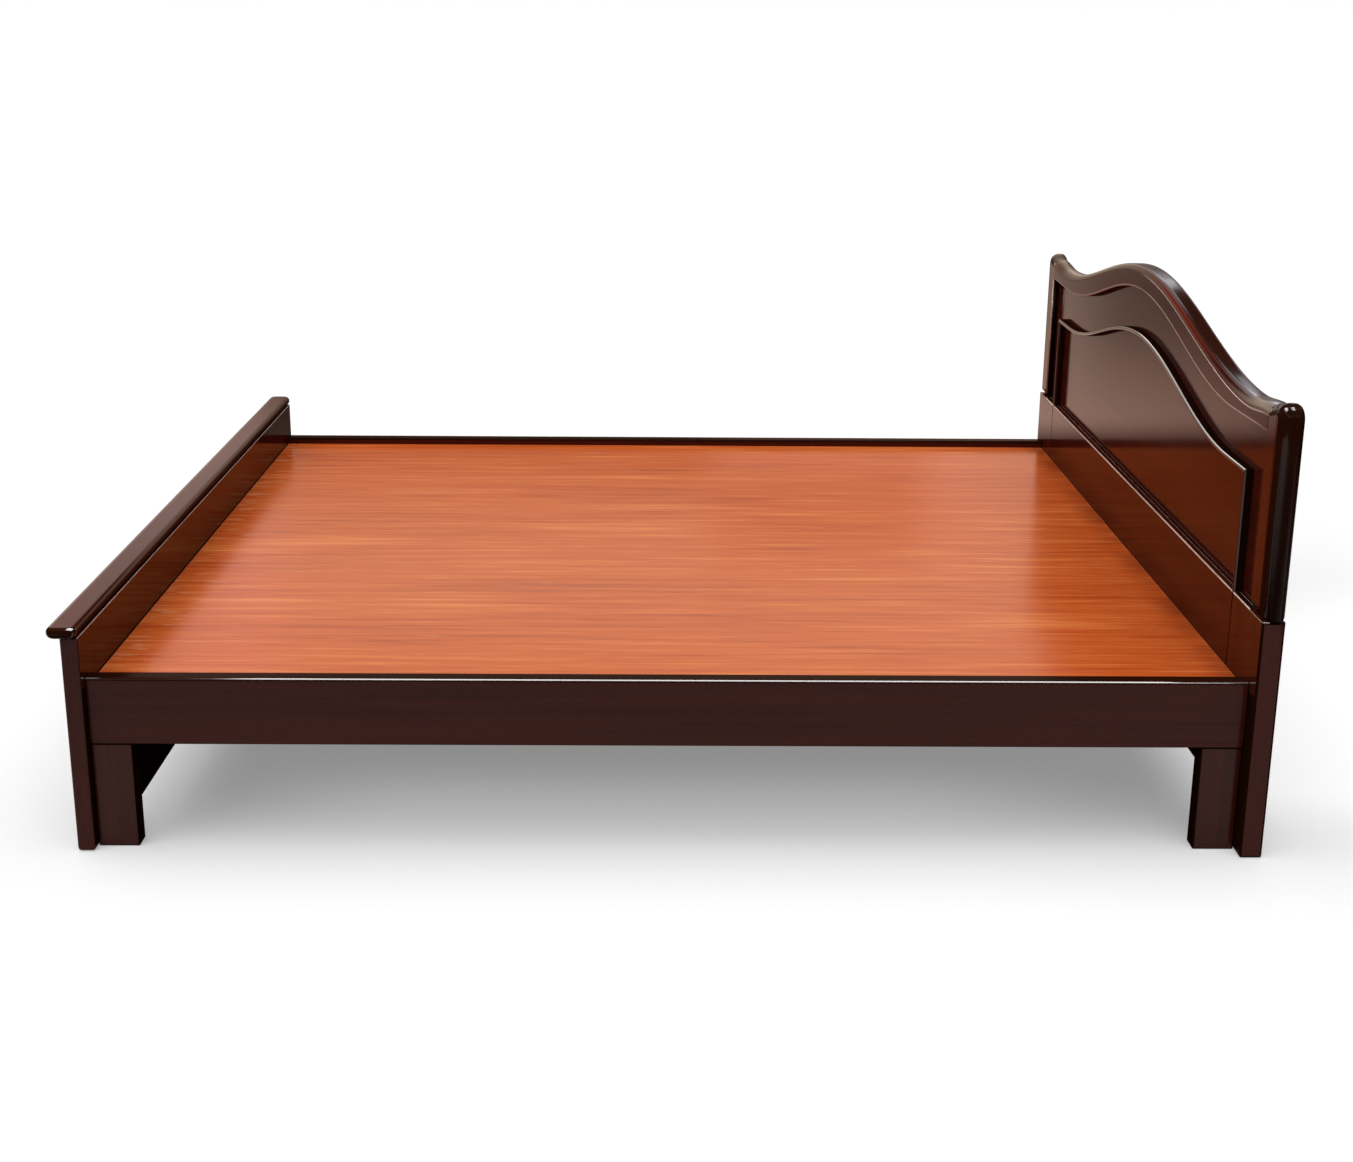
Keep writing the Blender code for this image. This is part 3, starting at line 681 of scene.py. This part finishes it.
# Paints the pale highlight on the front arrises, the red reflection on the top round's near slope, and the
# polish.
for i, vert in enumerate(crest.data.vertices):
    place, y = i % len(section), vert.co.y
    line = hump(max(abs(y - LINE_MIDDLE) - LINE_HALF, 0.0), LINE_FADE)
    if place < front_top - 1:
        rubbed[i].value = max(line, LINE_LEAST)
    elif front_top <= place < front_top + 2:
        rubbed[i].value = line + BRIGHTER * hump(y - BRIGHTEST_AT, BRIGHT_REACH)
    elif front_top < place < back_top - 3:
        worn[i].value = hump(y - REFLECTION_MIDDLE, REFLECTION_REACH)
    if front_top < place < back_top:
        polish[i].value = hump(y + crest_half, POLISH_REACH)
stands_for(sawn(crest, Y, Z), "head_crest")


# Foot posts: two planks of the same wood and lacquer that stand on the floor and carry the low footboard.
# They stand out a little past the rails, and the cap is tenoned onto them.

HAIRLINE = 0.0003
CAP_LINE = 0.0013
EASED_STEPS = 4
AT_SIDE = 1e-4


def timber(name, low, high, finishes, radius_of, steps=EASED_STEPS, finish=EDGE, divided_at=()):
    """A squared timber between two corners, with its edges eased.

    radius_of gets the side of the timber that an edge is on, as -1, 0 or 1 for each axis.
    """
    body = bmesh.new()
    bmesh.ops.create_cube(body, size=1.0)
    middle = (Vector(low) + Vector(high)) / 2
    size = Vector(high) - Vector(low)
    for vert in body.verts:
        vert.co = middle + Vector([share * length for share, length in zip(vert.co, size)])
    for height in divided_at:
        whole = [*body.verts, *body.edges, *body.faces]
        bmesh.ops.bisect_plane(body, geom=whole, plane_co=(0, 0, height), plane_no=(0, 0, 1))
    radii = []
    for edge in body.edges:
        place = (edge.verts[0].co + edge.verts[1].co) / 2 - middle
        shares = [offset / half for offset, half in zip(place, size / 2)]
        side = [round(share) if abs(abs(share) - 1) < AT_SIDE else 0 for share in shares]
        radii.append(radius_of(*side) if side.count(0) == 1 else 0.0)
    return eased(piece_of(name, body, finishes), radii, steps, finish)


def foot_post_radius(outward, upward):
    """Round at the foot and along the outer side, and fine under the cap and along the board."""
    if upward:
        return CAP_LINE if upward > 0 else FOOT_ROUND
    return POST_ROUND if outward > 0 else HAIRLINE


under_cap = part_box("foot_cap")[0].z - JOINT_GAP
for side, sign in SIDES:
    node = "foot_post_" + side
    post_low, post_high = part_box(node)
    post = timber(
        "lacquered_" + node,
        post_low,
        (post_high.x, post_high.y, under_cap),
        DARK_LACQUER,
        lambda sx, sy, sz: foot_post_radius(sy * sign, sz),
        finish=DULL_SHADED,
        divided_at=[deck_top],
    )
    # Below the deck the inner face is near-black painted shade, and the arris under the cap a pale painted
    # highlight.
    for face in post.data.polygons:
        if face.normal.y * sign > FACING:
            face.material_index = OUTER
        elif face.normal.x > SQUARE and face.center.z < deck_top:
            face.material_index = DULL_SHADED
        elif face.center.z > under_cap - CAP_LINE and face.center.x > post_high.x - CAP_LINE:
            face.material_index = ARRIS
    stands_for(sawn(post, Z, Y), node)


# Footboard: a thinner plank of the same wood, tongued between the foot posts and flush with them on the
# bed's side. The arris along its top carries a fine pale line under the cap, a painted highlight.

foot_inside = -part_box("foot_post_near")[1].y - HAIRLINE
foot_low, foot_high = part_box("foot_board")
foot_board = timber(
    "lacquered_foot_board",
    (foot_low.x, -foot_inside, foot_low.z),
    (foot_high.x, foot_inside, under_cap),
    DARK_LACQUER,
    lambda sx, sy, sz: CAP_LINE if sz > 0 else HAIRLINE,
    finish=DULL_SHADED,
)
for face in foot_board.data.polygons:
    if face.center.z > under_cap - CAP_LINE and face.center.x > foot_high.x - CAP_LINE:
        face.material_index = ARRIS
stands_for(sawn(foot_board, Y, Z), "foot_board")


# Foot cap: a moulded hardwood rail, tenoned onto the foot posts and worked to a half round on all its edges.
# It overhangs outwards and at the ends, and on the bed's side its nose is flush with the board below.

CAP_ROUND = 0.0097
CAP_STEPS = 8
CAP_CORNER = 0.016
CAP_CORNER_STEPS = 10
UNDER_NOSE, TO_END = 0.25, 0.75
cap_low, cap_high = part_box("foot_cap")
cap_corners = (
    (cap_high.x, cap_low.y, 1, 1),
    (cap_high.x, cap_high.y, 1, -1),
    (cap_low.x, cap_high.y, -1, -1),
    (cap_low.x, cap_low.y, -1, 1),
)
cap_rim = []
for i, (x, y, toward_x, toward_y) in enumerate(cap_corners):
    centre = Vector((x - toward_x * CAP_CORNER, y + toward_y * CAP_CORNER))
    for step in range(CAP_CORNER_STEPS + 1):
        turn = math.pi / 2 * (i - 1 + step / CAP_CORNER_STEPS)
        cap_rim.append(centre + CAP_CORNER * Vector((math.cos(turn), math.sin(turn))))
body = bmesh.new()
levels = [[body.verts.new((point.x, point.y, z)) for point in cap_rim] for z in (cap_low.z, cap_high.z)]
body.faces.new(reversed(levels[0]))
body.faces.new(levels[1])
for i in range(len(cap_rim)):
    j = (i + 1) % len(cap_rim)
    body.faces.new((levels[0][i], levels[0][j], levels[1][j], levels[1][i]))
bmesh.ops.recalc_face_normals(body, faces=body.faces)
cap_radii = [CAP_ROUND if edge.verts[0].co.z == edge.verts[1].co.z else 0.0 for edge in body.edges]
cap = eased(piece_of("lacquered_foot_cap", body, DARK_LACQUER), cap_radii, CAP_STEPS, EDGE)
# On the bed's side the nose's lower half is near-black painted shade, and the ends' nose a dark painted
# shade.
for face in cap.data.polygons:
    on_bed_side = face.center.x > cap_high.x - CAP_ROUND and abs(face.center.y) < cap_high.y - CAP_CORNER
    if face.material_index == EDGE and on_bed_side:
        face.material_index = DULL_SHADED if face.normal.z < UNDER_NOSE else FACE
    elif face.material_index == EDGE and abs(face.normal.y) > TO_END:
        face.material_index = BOLD
stands_for(sawn(cap, Y, X), "foot_cap")


# Leg blocks: four short squared blocks of the same hardwood, glued and screwed inside the posts.
# The rail ends rest on them. Their outer sides are lacquered, and the sides under the bed are left matt
# with a near-black stain, which is painted shade.

LEG_ROUND = 0.0025
LEG_OUTER, LEG_SHADED = range(2)
LEG_LACQUER = (
    dark_lacquer("dark lacquer on leg blocks", STAIN_DARK, STAIN_LIGHT, 1.26, 0.10, 0.06),
    # Its near-black stain is painted shade for the sides under the bed.
    dark_lacquer("matt stain under the bed", SHADE_DARK, SHADE_LIGHT, 1.0, 0.50, 0.02),
)
ENDS = ("head", "foot")
for end in ENDS:
    for side, sign in SIDES:
        node = f"leg_{end}_{side}"
        leg = timber("lacquered_" + node, *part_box(node), LEG_LACQUER, evenly(LEG_ROUND))
        for face in leg.data.polygons:
            face.material_index = LEG_OUTER if face.normal.y * sign > SQUARE else LEG_SHADED
        stands_for(sawn(leg, Z, Y), node)


# Side rails: two deep planks of the same wood, set on edge and bolted from post to post. Their top edges
# are well rounded and polished, so that they catch the light along their whole length.

RAIL_ROUND = 0.005
RAIL_UNDER_ROUND = 0.0015
RAIL_STEPS = 8
POLISHED_FROM = 0.35


def rail_radius(sx, sy, sz):
    """Well rounded along the top, fine along the underside, and eased at the ends."""
    if sx:
        return ARRIS_ROUND
    return RAIL_ROUND if sz > 0 else RAIL_UNDER_ROUND


for side, sign in SIDES:
    node = "rail_" + side
    rail = timber("lacquered_" + node, *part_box(node), DARK_LACQUER, rail_radius, RAIL_STEPS)
    # The top faces get a dark painted shade, and all edges but the near rail's top a near-black painted
    # shade.
    for face in rail.data.polygons:
        if face.normal.y * sign > SQUARE:
            face.material_index = OUTER
        elif face.normal.z > SQUARE:
            face.material_index = BOLD
        elif face.material_index == EDGE and (sign > 0 or face.normal.z < POLISHED_FROM):
            face.material_index = DULL_SHADED
    stands_for(sawn(rail, X, Z), node)


# Bed bolts: plain steel bolts with turned heads, sunk in the outer faces of the posts. Each one draws a
# rail end against its post.

STEEL_DARK = (0.30, 0.29, 0.28, 1.0)
STEEL_LIGHT = (0.52, 0.51, 0.49, 1.0)
steel, metal = bare_material("turned steel")
marks = metal.node("TexCoord", out="Object").streaks(along=900.0, across=160.0, detail=2.0)
surface(
    metal,
    Base_Color=marks.mix(STEEL_DARK, STEEL_LIGHT),
    Metallic=1.0,
    Roughness=0.24 + marks * 0.16,
    Normal=marks.bump(distance=0.0001, strength=0.15),
)
for end in ENDS:
    for side, _ in SIDES:
        bolt = frame["nodes"][f"bolt_{end}_{side}"]
        bolt.data.materials.clear()
        bolt.data.materials.append(steel)


# Bearers: two cross planks of the same hardwood, screwed between the leg blocks under the deck's ends.
# They are left matt like the legs' inner sides, with the same near-black stain, which is painted shade.

for end in ENDS:
    node = "bearer_" + end
    shaded_finish = (LEG_LACQUER[LEG_SHADED],)
    bearer = timber("lacquered_" + node, *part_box(node), shaded_finish, evenly(SEAM_ROUND), FINE_STEPS, FACE)
    stands_for(sawn(bearer, Y, Z), node)


# Deck supports: plain sawn softwood under a thin brown stain, screwed together. Ledgers run along the rails,
# joists lie on the ledgers, and a beam on a short leg holds their middle.

SAWN_DARK = (0.080, 0.048, 0.027, 1.0)
SAWN_LIGHT = (0.200, 0.125, 0.072, 1.0)
SAWN_ROUND = 0.0015
JOISTS = 5
softwood, grain = grained("sawn softwood")
year_rings = grain.streaks(along=0.9, across=26.0, detail=3.0)
fibres = grain.streaks(along=12.0, across=500.0, detail=2.0)
saw_marks = grain.streaks(along=160.0, across=5.0, detail=1.0)
tone = (year_rings * 0.6 + fibres * 0.25 + saw_marks * 0.15).between(0.32, 0.68)
surface(
    grain,
    Base_Color=tone.mix(SAWN_DARK, SAWN_LIGHT),
    Roughness=0.62 + fibres * 0.25,
    Normal=(saw_marks * 0.6 + fibres * 0.4).bump(distance=0.0006, strength=0.35),
)
supports = [("ledger_near", X, Z), ("ledger_far", X, Z)]
supports += [(f"joist_{i}", Y, X) for i in range(1, JOISTS + 1)]
supports += [("centre_beam", X, Z), ("centre_leg", Z, Y)]
for node, along, across in supports:
    support = timber("sawn_" + node, *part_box(node), (softwood,), evenly(SAWN_ROUND), FINE_STEPS, FACE)
    stands_for(sawn(support, along, across), node)


# Deck boards: six wide planks laid side by side along the bed, screwed to the joists and varnished in place
# to a soft gloss. The varnish has drawn into the hairline seams, and the grain runs the length of the bed.
# The deck is scuffed pale by the footboard, darkened along the headboard by painted shade, and left sawn
# underneath.

DECK_BOARDS = 6
DECK_SEAM = 0.00015
DECK_ROUND = 0.0004
DECK_END_ROUND = 0.0012
DECK_STEPS = 3
DECK_REACH = 0.006
DECK_DARK = (0.44, 0.062, 0.011, 1.0)
DECK_MID = (0.63, 0.114, 0.022, 1.0)
DECK_LIGHT = (0.79, 0.215, 0.056, 1.0)
DECK_PALE = (0.80, 0.30, 0.13, 1.0)
DECK_SHADE = (0.20, 0.024, 0.005, 1.0)
SHADE_FROM, SHADE_TO = 0.935, 1.000
SCUFFED_FROM, SCUFFED_TO = -0.85, -0.985
DECK_IOR = 1.28


def deck_varnish(name, end_highlight):
    """Orange-brown planks under varnish, with fine grain and flecks, and so much paler all over as a painted
    highlight.
    """
    material, grain = grained(name)
    bands = grain.streaks(along=1.1, across=7.0, detail=3.0)
    streaks = grain.streaks(along=2.6, across=46.0, detail=5.0)
    lines = grain.streaks(along=5.0, across=170.0, detail=4.0)
    fibres = grain.streaks(along=16.0, across=700.0, detail=1.0)
    flecks = grain.streaks(along=11.0, across=210.0, detail=2.0).between(0.64, 0.76)
    tone = bands * 0.24 + streaks * 0.36 + lines * 0.32 + fibres * 0.08
    dark_to_mid = tone.between(0.36, 0.50).mix(DECK_DARK, DECK_MID)
    colour = tone.between(0.50, 0.64).mix(dark_to_mid, DECK_LIGHT)
    bed_place = grain.node("TexCoord", out="Object")
    lengthwise = bed_place.axis("X")
    scuffs = bed_place.streaks(along=14.0, across=60.0, detail=4.0).between(0.54, 0.66)
    scuffs = scuffs * (1.0 - lengthwise.between(SCUFFED_TO, SCUFFED_FROM))
    # Painted shade: the deck darkens toward the headboard, broken up by the grain's bands.
    headboard_shade = lengthwise.between(SHADE_FROM, SHADE_TO) * bands.between(0.25, 0.65)
    colour = (headboard_shade * 0.7).mix(colour, DECK_SHADE)
    colour = (flecks * 0.5 + scuffs * 0.6 + end_highlight).mix(colour, DECK_PALE)
    surface(
        grain,
        Base_Color=colour,
        Roughness=0.15 + bands * 0.05 + lines * 0.04,
        IOR=DECK_IOR,
        Normal=(lines * 0.5 + streaks * 0.35 + fibres * 0.15).bump(distance=0.0004, strength=0.10),
    )
    return material


DECK_FACE, DECK_END, DECK_UNDER = range(3)
# The boards' eased ends get the paler varnish: a painted highlight.
DECK_VARNISH = (deck_varnish("deck varnish", 0.0), deck_varnish("deck varnish on ends", 0.5), softwood)
cad_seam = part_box("deck_board_2")[0].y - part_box("deck_board_1")[1].y
spread = Vector((0, (cad_seam - DECK_SEAM) / 2, 0))
for i in range(1, DECK_BOARDS + 1):
    node = f"deck_board_{i}"
    low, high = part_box(node)
    board = timber(
        "varnished_" + node,
        low - spread - Vector((DECK_REACH, 0, 0)),
        high + spread,
        DECK_VARNISH,
        lambda sx, sy, sz: DECK_END_ROUND if sx else DECK_ROUND,
        DECK_STEPS,
    )
    for face in board.data.polygons:
        if min(face.center.x - low.x + DECK_REACH, high.x - face.center.x) < DECK_END_ROUND:
            face.material_index = DECK_END
        elif face.center.z < low.z + DECK_ROUND:
            face.material_index = DECK_UNDER
        else:
            face.material_index = DECK_FACE
    stands_for(sawn(board, X, Y), node)


# Floor: plain white paint that keeps the bed's soft shadow, which painted light lightens behind the headboard
# and along the middle of the near rail. It throws back less light on the bed than the camera and the gloss
# see.

FLOOR_SIDE = 400.0
FLOOR_DROP = 0.0003
FLOOR_WHITE = (0.75, 0.75, 0.75, 1.0)
FLOOR_BOUNCE = (0.32, 0.32, 0.32, 1.0)
FLOOR_LIFT = (0.26, 0.26, 0.26, 1.0)
PAINTED_LIGHT = (0.46, 0.46, 0.46, 1.0)
WHITE = (1.0, 1.0, 1.0, 1.0)
BEHIND_HEAD = (1.03, 1.14)  # spans are in metres, along the bed or across it
HEAD_NEAR, HEAD_FAR = (-0.98, -0.66), (0.1, 0.8)
RAIL_FOOT, RAIL_HEAD = (-0.98, -0.40), (0.40, 0.98)
RAIL_OUTSIDE, RAIL_INSIDE = (-0.96, -0.76), (-0.74, -0.50)
RAIL_SHARE = 0.45


def seen_directly(shade):
    """One for what the camera, the gloss or glass looks at, and nothing for light that falls on things."""
    rays = [shade.node("LightPath", out=f"Is {kind} Ray") for kind in ("Camera", "Glossy", "Transmission")]
    return rays[0].larger(rays[1]).larger(rays[2])


floor_paint, paint = bare_material("white floor")
seen = seen_directly(paint)
spot = paint.node("TexCoord", out="Object")
along, across = spot.axis("X"), spot.axis("Y")
behind_head = along.between(*BEHIND_HEAD) * across.within(HEAD_NEAR, HEAD_FAR)
along_rail = along.within(RAIL_FOOT, RAIL_HEAD) * across.within(RAIL_OUTSIDE, RAIL_INSIDE) * RAIL_SHARE
# Painted light: a brighter glow behind the headboard and along the near rail lightens the shadow there.
shadow_lightened = behind_head.larger(along_rail).mix(FLOOR_LIFT, PAINTED_LIGHT)
lift = paint.node("Emission", sockets={"Color": shadow_lightened, "Strength": 1.0})
unlit = paint.node("Emission", sockets={"Color": WHITE, "Strength": 0.0})
glow = paint.node("MixShader", sockets={0: seen, 1: unlit, 2: lift})
matt = paint.node("BsdfDiffuse", sockets={"Color": seen.mix(FLOOR_BOUNCE, FLOOR_WHITE)})
paint.node("OutputMaterial", sockets={"Surface": paint.node("AddShader", sockets={0: matt, 1: glow})})
body = bmesh.new()
bmesh.ops.create_grid(body, x_segments=1, y_segments=1, size=FLOOR_SIDE / 2)
floor = piece_of("floor", body, (floor_paint,))
floor.location.z = -FLOOR_DROP
floor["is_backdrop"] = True


# Cloths: a warm grey cloth hung behind the bed, and black ones round it and over it. Only the gloss sees
# them, so they are out of the camera's sight and light nothing, and they shape what the lacquer reflects.

CLOTH_DIM = (0.02, 0.016, 0.012, 1.0)
CLOTH_BRIGHT = (1.00, 0.84, 0.64, 1.0)
CLOTH_LOW = (1.18, 0.75, 0.59, 1.0)
CLOTH_MIDDLE = (0.38, 0.28, 0.22, 1.0)
CLOTH_SIDE = (0.78, 0.56, 0.45, 1.0)
CLOTH_FOOT = (1.10, 0.80, 0.72, 1.0)
CLOTH_EDGE = (0.22, 0.19, 0.18, 1.0)
CLOTH_CORNER = (0.72, 0.72, 0.77, 1.0)
CLOTH_BLACK = (0.02, 0.018, 0.016, 1.0)
FOOT_CORNER, FOOT_END = (-1.25, -1.05), (-0.85, -0.60)  # spans along the bed
HEAD_HALF, STILE_SIDE, HEAD_CORNER = (0.05, 0.25), (0.68, 0.88), (1.14, 1.22)
FOOT_GLOW, BED_LIGHT, BED_TOP = (0.2, 0.4), (0.25, 0.95), (1.22, 1.34)  # spans in height
HEM_LIGHT, LOW_FADE, HEAD_LIGHT, HEAD_TOP = (0.153, 0.258), (0.20, 0.60), (0.62, 0.95), (1.38, 1.55)
CORNER_LIGHT = (1.15, 1.45)
GLOW_SHARE = 0.08
CORNER_DROP = 0.15
ONE_BOUNCE = 1.5
ROUND_HALF, OVER_HALF = 2.4, 2.8
BEHIND, BEFORE = 1.5, -3.6
BACK_HEIGHT, ROUND_HEIGHT, OVER_HEIGHT = 1.7, 2.4, 3.1


def glowing(material, shade, colour):
    """Ends a material in an even glow, which no light is drawn from."""
    shade.node("OutputMaterial", sockets={"Surface": shade.node("Emission", sockets={"Color": colour})})
    material.cycles.emission_sampling = "NONE"
    return material


warm_grey, cloth = bare_material("warm grey cloth")
place = cloth.node("TexCoord", out="Object")
along, height = place.axis("X"), place.axis("Z")
past_foot = 1.0 - along.between(*FOOT_CORNER)
foot_glow = (1.0 - along.between(*FOOT_END)) * (1.0 - height.between(*FOOT_GLOW)) * GLOW_SHARE
under_top = 1.0 - height.between(*BED_TOP) * (1.0 - past_foot)
bed_light = (height + past_foot * CORNER_DROP).between(*BED_LIGHT) * under_top
by_bed = bed_light.larger(foot_glow).mix(CLOTH_DIM, past_foot.mix(CLOTH_BRIGHT, CLOTH_FOOT))
middle = along.between(*STILE_SIDE).mix(CLOTH_MIDDLE, CLOTH_SIDE)
by_head = height.between(*HEM_LIGHT).mix(CLOTH_DIM, height.between(*LOW_FADE).mix(CLOTH_LOW, middle))
by_head = height.between(*HEAD_LIGHT).mix(by_head, CLOTH_BRIGHT)
by_head = height.between(*HEAD_TOP).mix(by_head, CLOTH_DIM)
past_head = height.between(*CORNER_LIGHT).mix(CLOTH_EDGE, CLOTH_CORNER)
by_head = along.between(*HEAD_CORNER).mix(by_head, past_head)
first_gloss = cloth.node("LightPath", out="Glossy Depth").below(ONE_BOUNCE)
hung = first_gloss.mix(CLOTH_DIM, along.between(*HEAD_HALF).mix(by_bed, by_head))
back_cloth = glowing(warm_grey, cloth, hung)
black_cloth = glowing(*bare_material("black cloth"), CLOTH_BLACK)
for name, start, end, hem, hang, finish in (
    ("cloth_back", (-ROUND_HALF, BEHIND), (ROUND_HALF, BEHIND), 0.0, (0, 0, BACK_HEIGHT), back_cloth),
    ("cloth_left", (-ROUND_HALF, BEFORE), (-ROUND_HALF, BEHIND), 0.0, (0, 0, ROUND_HEIGHT), black_cloth),
    ("cloth_right", (ROUND_HALF, BEHIND), (ROUND_HALF, BEFORE), 0.0, (0, 0, ROUND_HEIGHT), black_cloth),
    ("cloth_front", (ROUND_HALF, BEFORE), (-ROUND_HALF, BEFORE), 0.0, (0, 0, ROUND_HEIGHT), black_cloth),
    (
        "cloth_high", (-OVER_HALF, BEHIND), (OVER_HALF, BEHIND), BACK_HEIGHT,
        (0, 0, OVER_HEIGHT - BACK_HEIGHT), black_cloth,
    ),
    (
        "cloth_over", (-OVER_HALF, BEHIND), (OVER_HALF, BEHIND), OVER_HEIGHT,
        (0, BEFORE - BEHIND, 0), black_cloth,
    ),
):
    hem_line = [Vector((*corner, hem)) for corner in (start, end)]
    screen = loft(name, [hem_line, [corner + Vector(hang) for corner in hem_line]], (finish,), (FACE,), False)
    for rays in ("camera", "diffuse", "transmission", "volume_scatter", "shadow"):
        setattr(screen, "visible_" + rays, False)
    screen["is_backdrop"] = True


# Light: an even white world, one broad lamp overhead for the soft shadow, and area lamps that polish only
# the gloss of the pieces that they are linked to. The overhead lamp is kept out of the gloss.

WORLD_LIGHT = 0.13
SKY_LIGHT = 0.93
SKY_ANGLE = math.radians(100)
SKY_PLACE = (-1.0, -0.6, 4.0)
BED_MIDDLE = (0.0, 0.0, 0.0)
STILE, CREST = "lacquered_head_stile", "lacquered_head_crest"
world = bpy.data.worlds.new("studio")
bpy.context.scene.world = world
world.use_nodes = True
world.node_tree.nodes.clear()
sky = Shade(world.node_tree)
shown = sky.node("Background", sockets={"Color": WHITE, "Strength": 1.0})
falling = sky.node("Background", sockets={"Color": WHITE, "Strength": WORLD_LIGHT})
backdrop = sky.node("MixShader", sockets={0: seen_directly(sky), 1: falling, 2: shown})
sky.node("OutputWorld", sockets={"Surface": backdrop})


def lamp(name, kind, place, target):
    """A lamp of some kind at a place, turned to its target."""
    light = bpy.data.objects.new(name, bpy.data.lights.new(name, kind))
    bpy.context.scene.collection.objects.link(light)
    light.location = place
    light.rotation_mode = "QUATERNION"
    light.rotation_quaternion = (Vector(target) - Vector(place)).to_track_quat("-Z", "Y")
    return light


overhead = lamp("overhead", "SUN", SKY_PLACE, BED_MIDDLE)
overhead.data.energy = SKY_LIGHT * math.pi
overhead.data.angle = SKY_ANGLE
overhead.visible_glossy = False
for name, place, target, length, width, brightness, polishes, leaves in (
    ("lamp_over_bed", (0.35, -0.65, 3.0), (0.35, -0.65, 0.0), 3.4, 3.1, 20.0, "lacquered_", (STILE, CREST)),
    ("lamp_behind_bead", (0.6, 1.45, 1.8), (0.6, -1.0, 1.8), 1.6, 1.2, 4.2, "lacquered_bead", ()),
    ("lamp_behind_crest", (1.0, 1.45, 1.8), (1.0, -1.0, 1.8), 1.0, 0.7, 0.8, CREST, ()),
    ("lamp_on_stile_left", (-0.76, -0.15, 3.0), (1.0, -0.95, 0.8), 1.3, 1.3, 24.0, STILE, ()),
    ("lamp_on_stile_right", (1.0, -0.95, 3.0), (1.0, -0.95, 0.8), 1.1, 1.1, 12.0, STILE, ()),
):
    gloss_lamp = lamp(name, "AREA", place, target)
    polished = bpy.data.collections.new("polished by " + name)
    for obj in bpy.context.scene.collection.objects:
        if obj.name.startswith(polishes) and not obj.name.startswith(leaves):
            polished.objects.link(obj)
    gloss_lamp.data.shape = "RECTANGLE"
    gloss_lamp.data.size = length
    gloss_lamp.data.size_y = width
    gloss_lamp.data.energy = brightness * math.pi * length * width
    gloss_lamp.visible_diffuse = False
    gloss_lamp.light_linking.receiver_collection = polished


# Camera: at the photograph's place, a little above the middle of the bed's near side and turned down to it.
# Its place, its turns and its focal length were worked out from the bed's straight edges.

PHOTO_WIDTH = 1353
FOCAL_PIXELS = 1918.98
SENSOR_WIDTH = 36.0
CAMERA_PLACE = (-0.0144, -4.0343, 1.4277)
CAMERA_YAW, CAMERA_DOWN, CAMERA_ROLL = -0.010506, 0.295244, 0.007594
camera = bpy.data.objects.new("camera", bpy.data.cameras.new("camera"))
bpy.context.scene.collection.objects.link(camera)
camera.data.sensor_fit = "HORIZONTAL"
camera.data.sensor_width = SENSOR_WIDTH
camera.data.lens = SENSOR_WIDTH * FOCAL_PIXELS / PHOTO_WIDTH
camera.matrix_world = (
    Matrix.Translation(CAMERA_PLACE)
    @ Matrix.Rotation(CAMERA_YAW, 4, "Z")
    @ Matrix.Rotation(math.pi / 2 - CAMERA_DOWN, 4, "X")
    @ Matrix.Rotation(CAMERA_ROLL, 4, "Z")
)
bpy.context.scene.camera = camera
bpy.context.scene.view_settings.view_transform = "Standard"

low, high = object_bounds()
